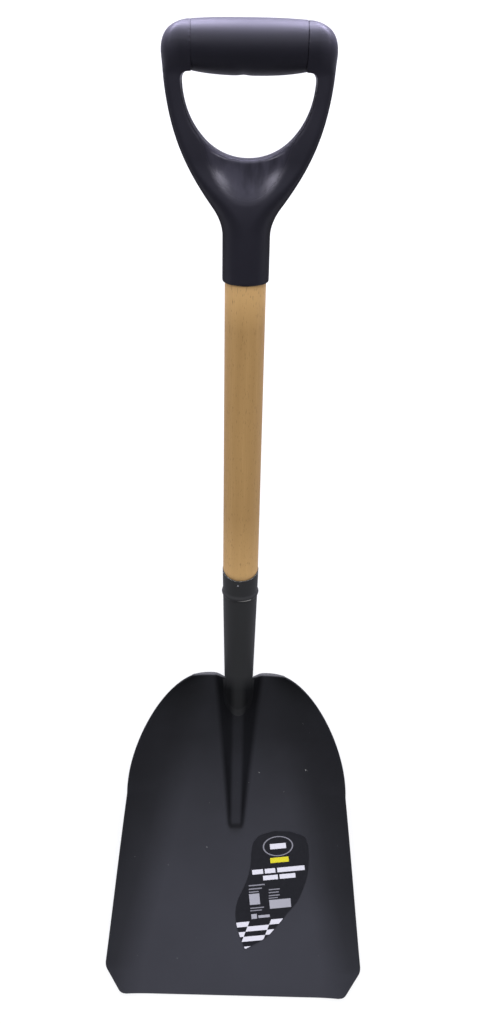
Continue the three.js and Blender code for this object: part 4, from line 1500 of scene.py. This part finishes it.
def print_label(tree):
    """Black vinyl with plain printed bars, a ring and a checker band."""
    printed = axes(object_place(tree, PRINT_PLACE, (0, 0, PRINT_TURN), (PRINT_UNIT,) * 3))
    spot = (printed["X"], times(printed["Y"], -1))
    skin = noise(object_place(tree), *VINYL_SKIN)
    layers = (
        (largest(printed_bars(*spot, GREY_BARS), printed_ring(*spot)), "print_grey"),
        (printed_bars(*spot, PALE_BARS), "print_pale"),
        (largest(printed_bars(*spot, WHITE_BARS), printed_checker(*spot)), "print_white"),
        (printed_bars(*spot, YELLOW_BARS), "print_yellow"),
    )
    tone = blend(skin, "vinyl", "vinyl_light")
    for share, ink in layers:
        tone = blend(share, tone, ink)
    surface = {
        "Base Color": tone,
        "Roughness": ramp(skin, *WIDE_RANGE, *VINYL_ROUGHNESS),
        "Specular IOR Level": VINYL_GLOSS,
    }
    finish_shader(surface, skin, VINYL_RIPPLE_DEPTH)


# Stage
def whiten_floor(tree):
    """White with soft shadows for the camera, grey for the light that falls on it."""
    seen = put(tree, "LightPath").outputs
    by_camera = times(seen["Is Camera Ray"], FLOOR_GLOW_SHARE)
    by_gloss = times(seen["Is Glossy Ray"], FLOOR_GLOSS_SHARE)
    matt = join("BsdfDiffuse", {"Color": blend(seen["Is Camera Ray"], "floor_lit", "floor_seen")})
    surface = mixed_shader(largest(by_camera, by_gloss), matt, white(tree, "Emission"))
    put(tree, "OutputMaterial", {"Surface": surface})


def make_floor(height):
    mesh = bpy.data.meshes.new("floor")
    corners = [(-1, -1), (1, -1), (1, 1), (-1, 1)]
    points = [(x * FLOOR_REACH, y * FLOOR_REACH, height) for x, y in corners]
    mesh.from_pydata(points, [], [(0, 1, 2, 3)])
    floor = add_object("floor", mesh)
    mesh.materials.append(new_material("floor_white", whiten_floor))


def make_world():
    """A soft sky, brightest behind the grip, that the camera sees as plain white."""
    world = bpy.data.worlds.new("studio")
    world.use_nodes = True
    tree = world.node_tree
    tree.nodes.clear()
    direction = put(tree, "TexCoord").outputs["Generated"]
    sideways = axes(direction)["X"]
    dimmed = times(sideways, sideways, -SKY_NARROWING)
    facing = calculate("ADD", measured("DOT_PRODUCT", direction, SKY_AXIS), dimmed)
    share = calculate("POWER", ramp(facing, -1, 1), SKY_POWER)
    strength = ramp(share, 0, 1, SKY_LOW, SKY_LOW + SKY_HIGH)
    sky = join("Background", {"Color": SKY_TINT, "Strength": strength})
    seen = put(tree, "LightPath").outputs["Is Camera Ray"]
    put(tree, "OutputWorld", {"Surface": mixed_shader(seen, sky, white(tree, "Background"))})
    bpy.context.scene.world = world


def make_lamp(name, place, target, size, power, tint):
    light = bpy.data.lights.new(name, "AREA")
    light.shape = "RECTANGLE"
    light.size, light.size_y = size
    light.energy = power
    light.color = tint
    lamp = add_object(name, light)
    lamp.location = place
    lamp.rotation_euler = (Vector(target) - Vector(place)).to_track_quat("-Z", "Y").to_euler()


def make_camera():
    data = bpy.data.cameras.new("camera")
    data.sensor_fit = "VERTICAL"
    data.sensor_height = CAMERA_SENSOR
    data.lens = CAMERA_LENS
    camera = add_object("camera", data)
    back = -Vector(CAMERA_LOOK).normalized()
    right = Vector(CAMERA_UP).cross(back).normalized()
    turn = Matrix((right, back.cross(right), back)).transposed()
    camera.matrix_world = Matrix.Translation(CAMERA_PLACE) @ turn.to_4x4()
    bpy.context.scene.camera = camera


# The scene
bpy.context.scene.view_settings.view_transform = "Standard"
make_camera()

socket_paint = new_material("socket_paint", paint_socket)
make_blade(new_material("blade_paint", paint_blade), new_material("blade_edge", paint_blade_edge))
make_socket(socket_paint, new_material("socket_edge", chip_rim))
make_weld(-1, "weld_left", socket_paint)
make_weld(1, "weld_right", socket_paint)
make_rivet(new_material("rubbed_rivet", rub_rivet))
make_pin(new_material("bright_steel", plate_steel))
make_wood(new_material("light_wood", grain_wood))
make_yoke(new_material("grip_plastic", mould_yoke))
make_sleeve(new_material("sleeve_plastic", mould_sleeve))
make_label(new_material("label_vinyl", print_label))

make_floor(cad_box[0].z)
make_world()
for name, (x, y, z), *settings in LAMPS:
    make_lamp("left_" + name, (-x, y, z), *settings)
    make_lamp("right_" + name, (x, y, z), *settings)
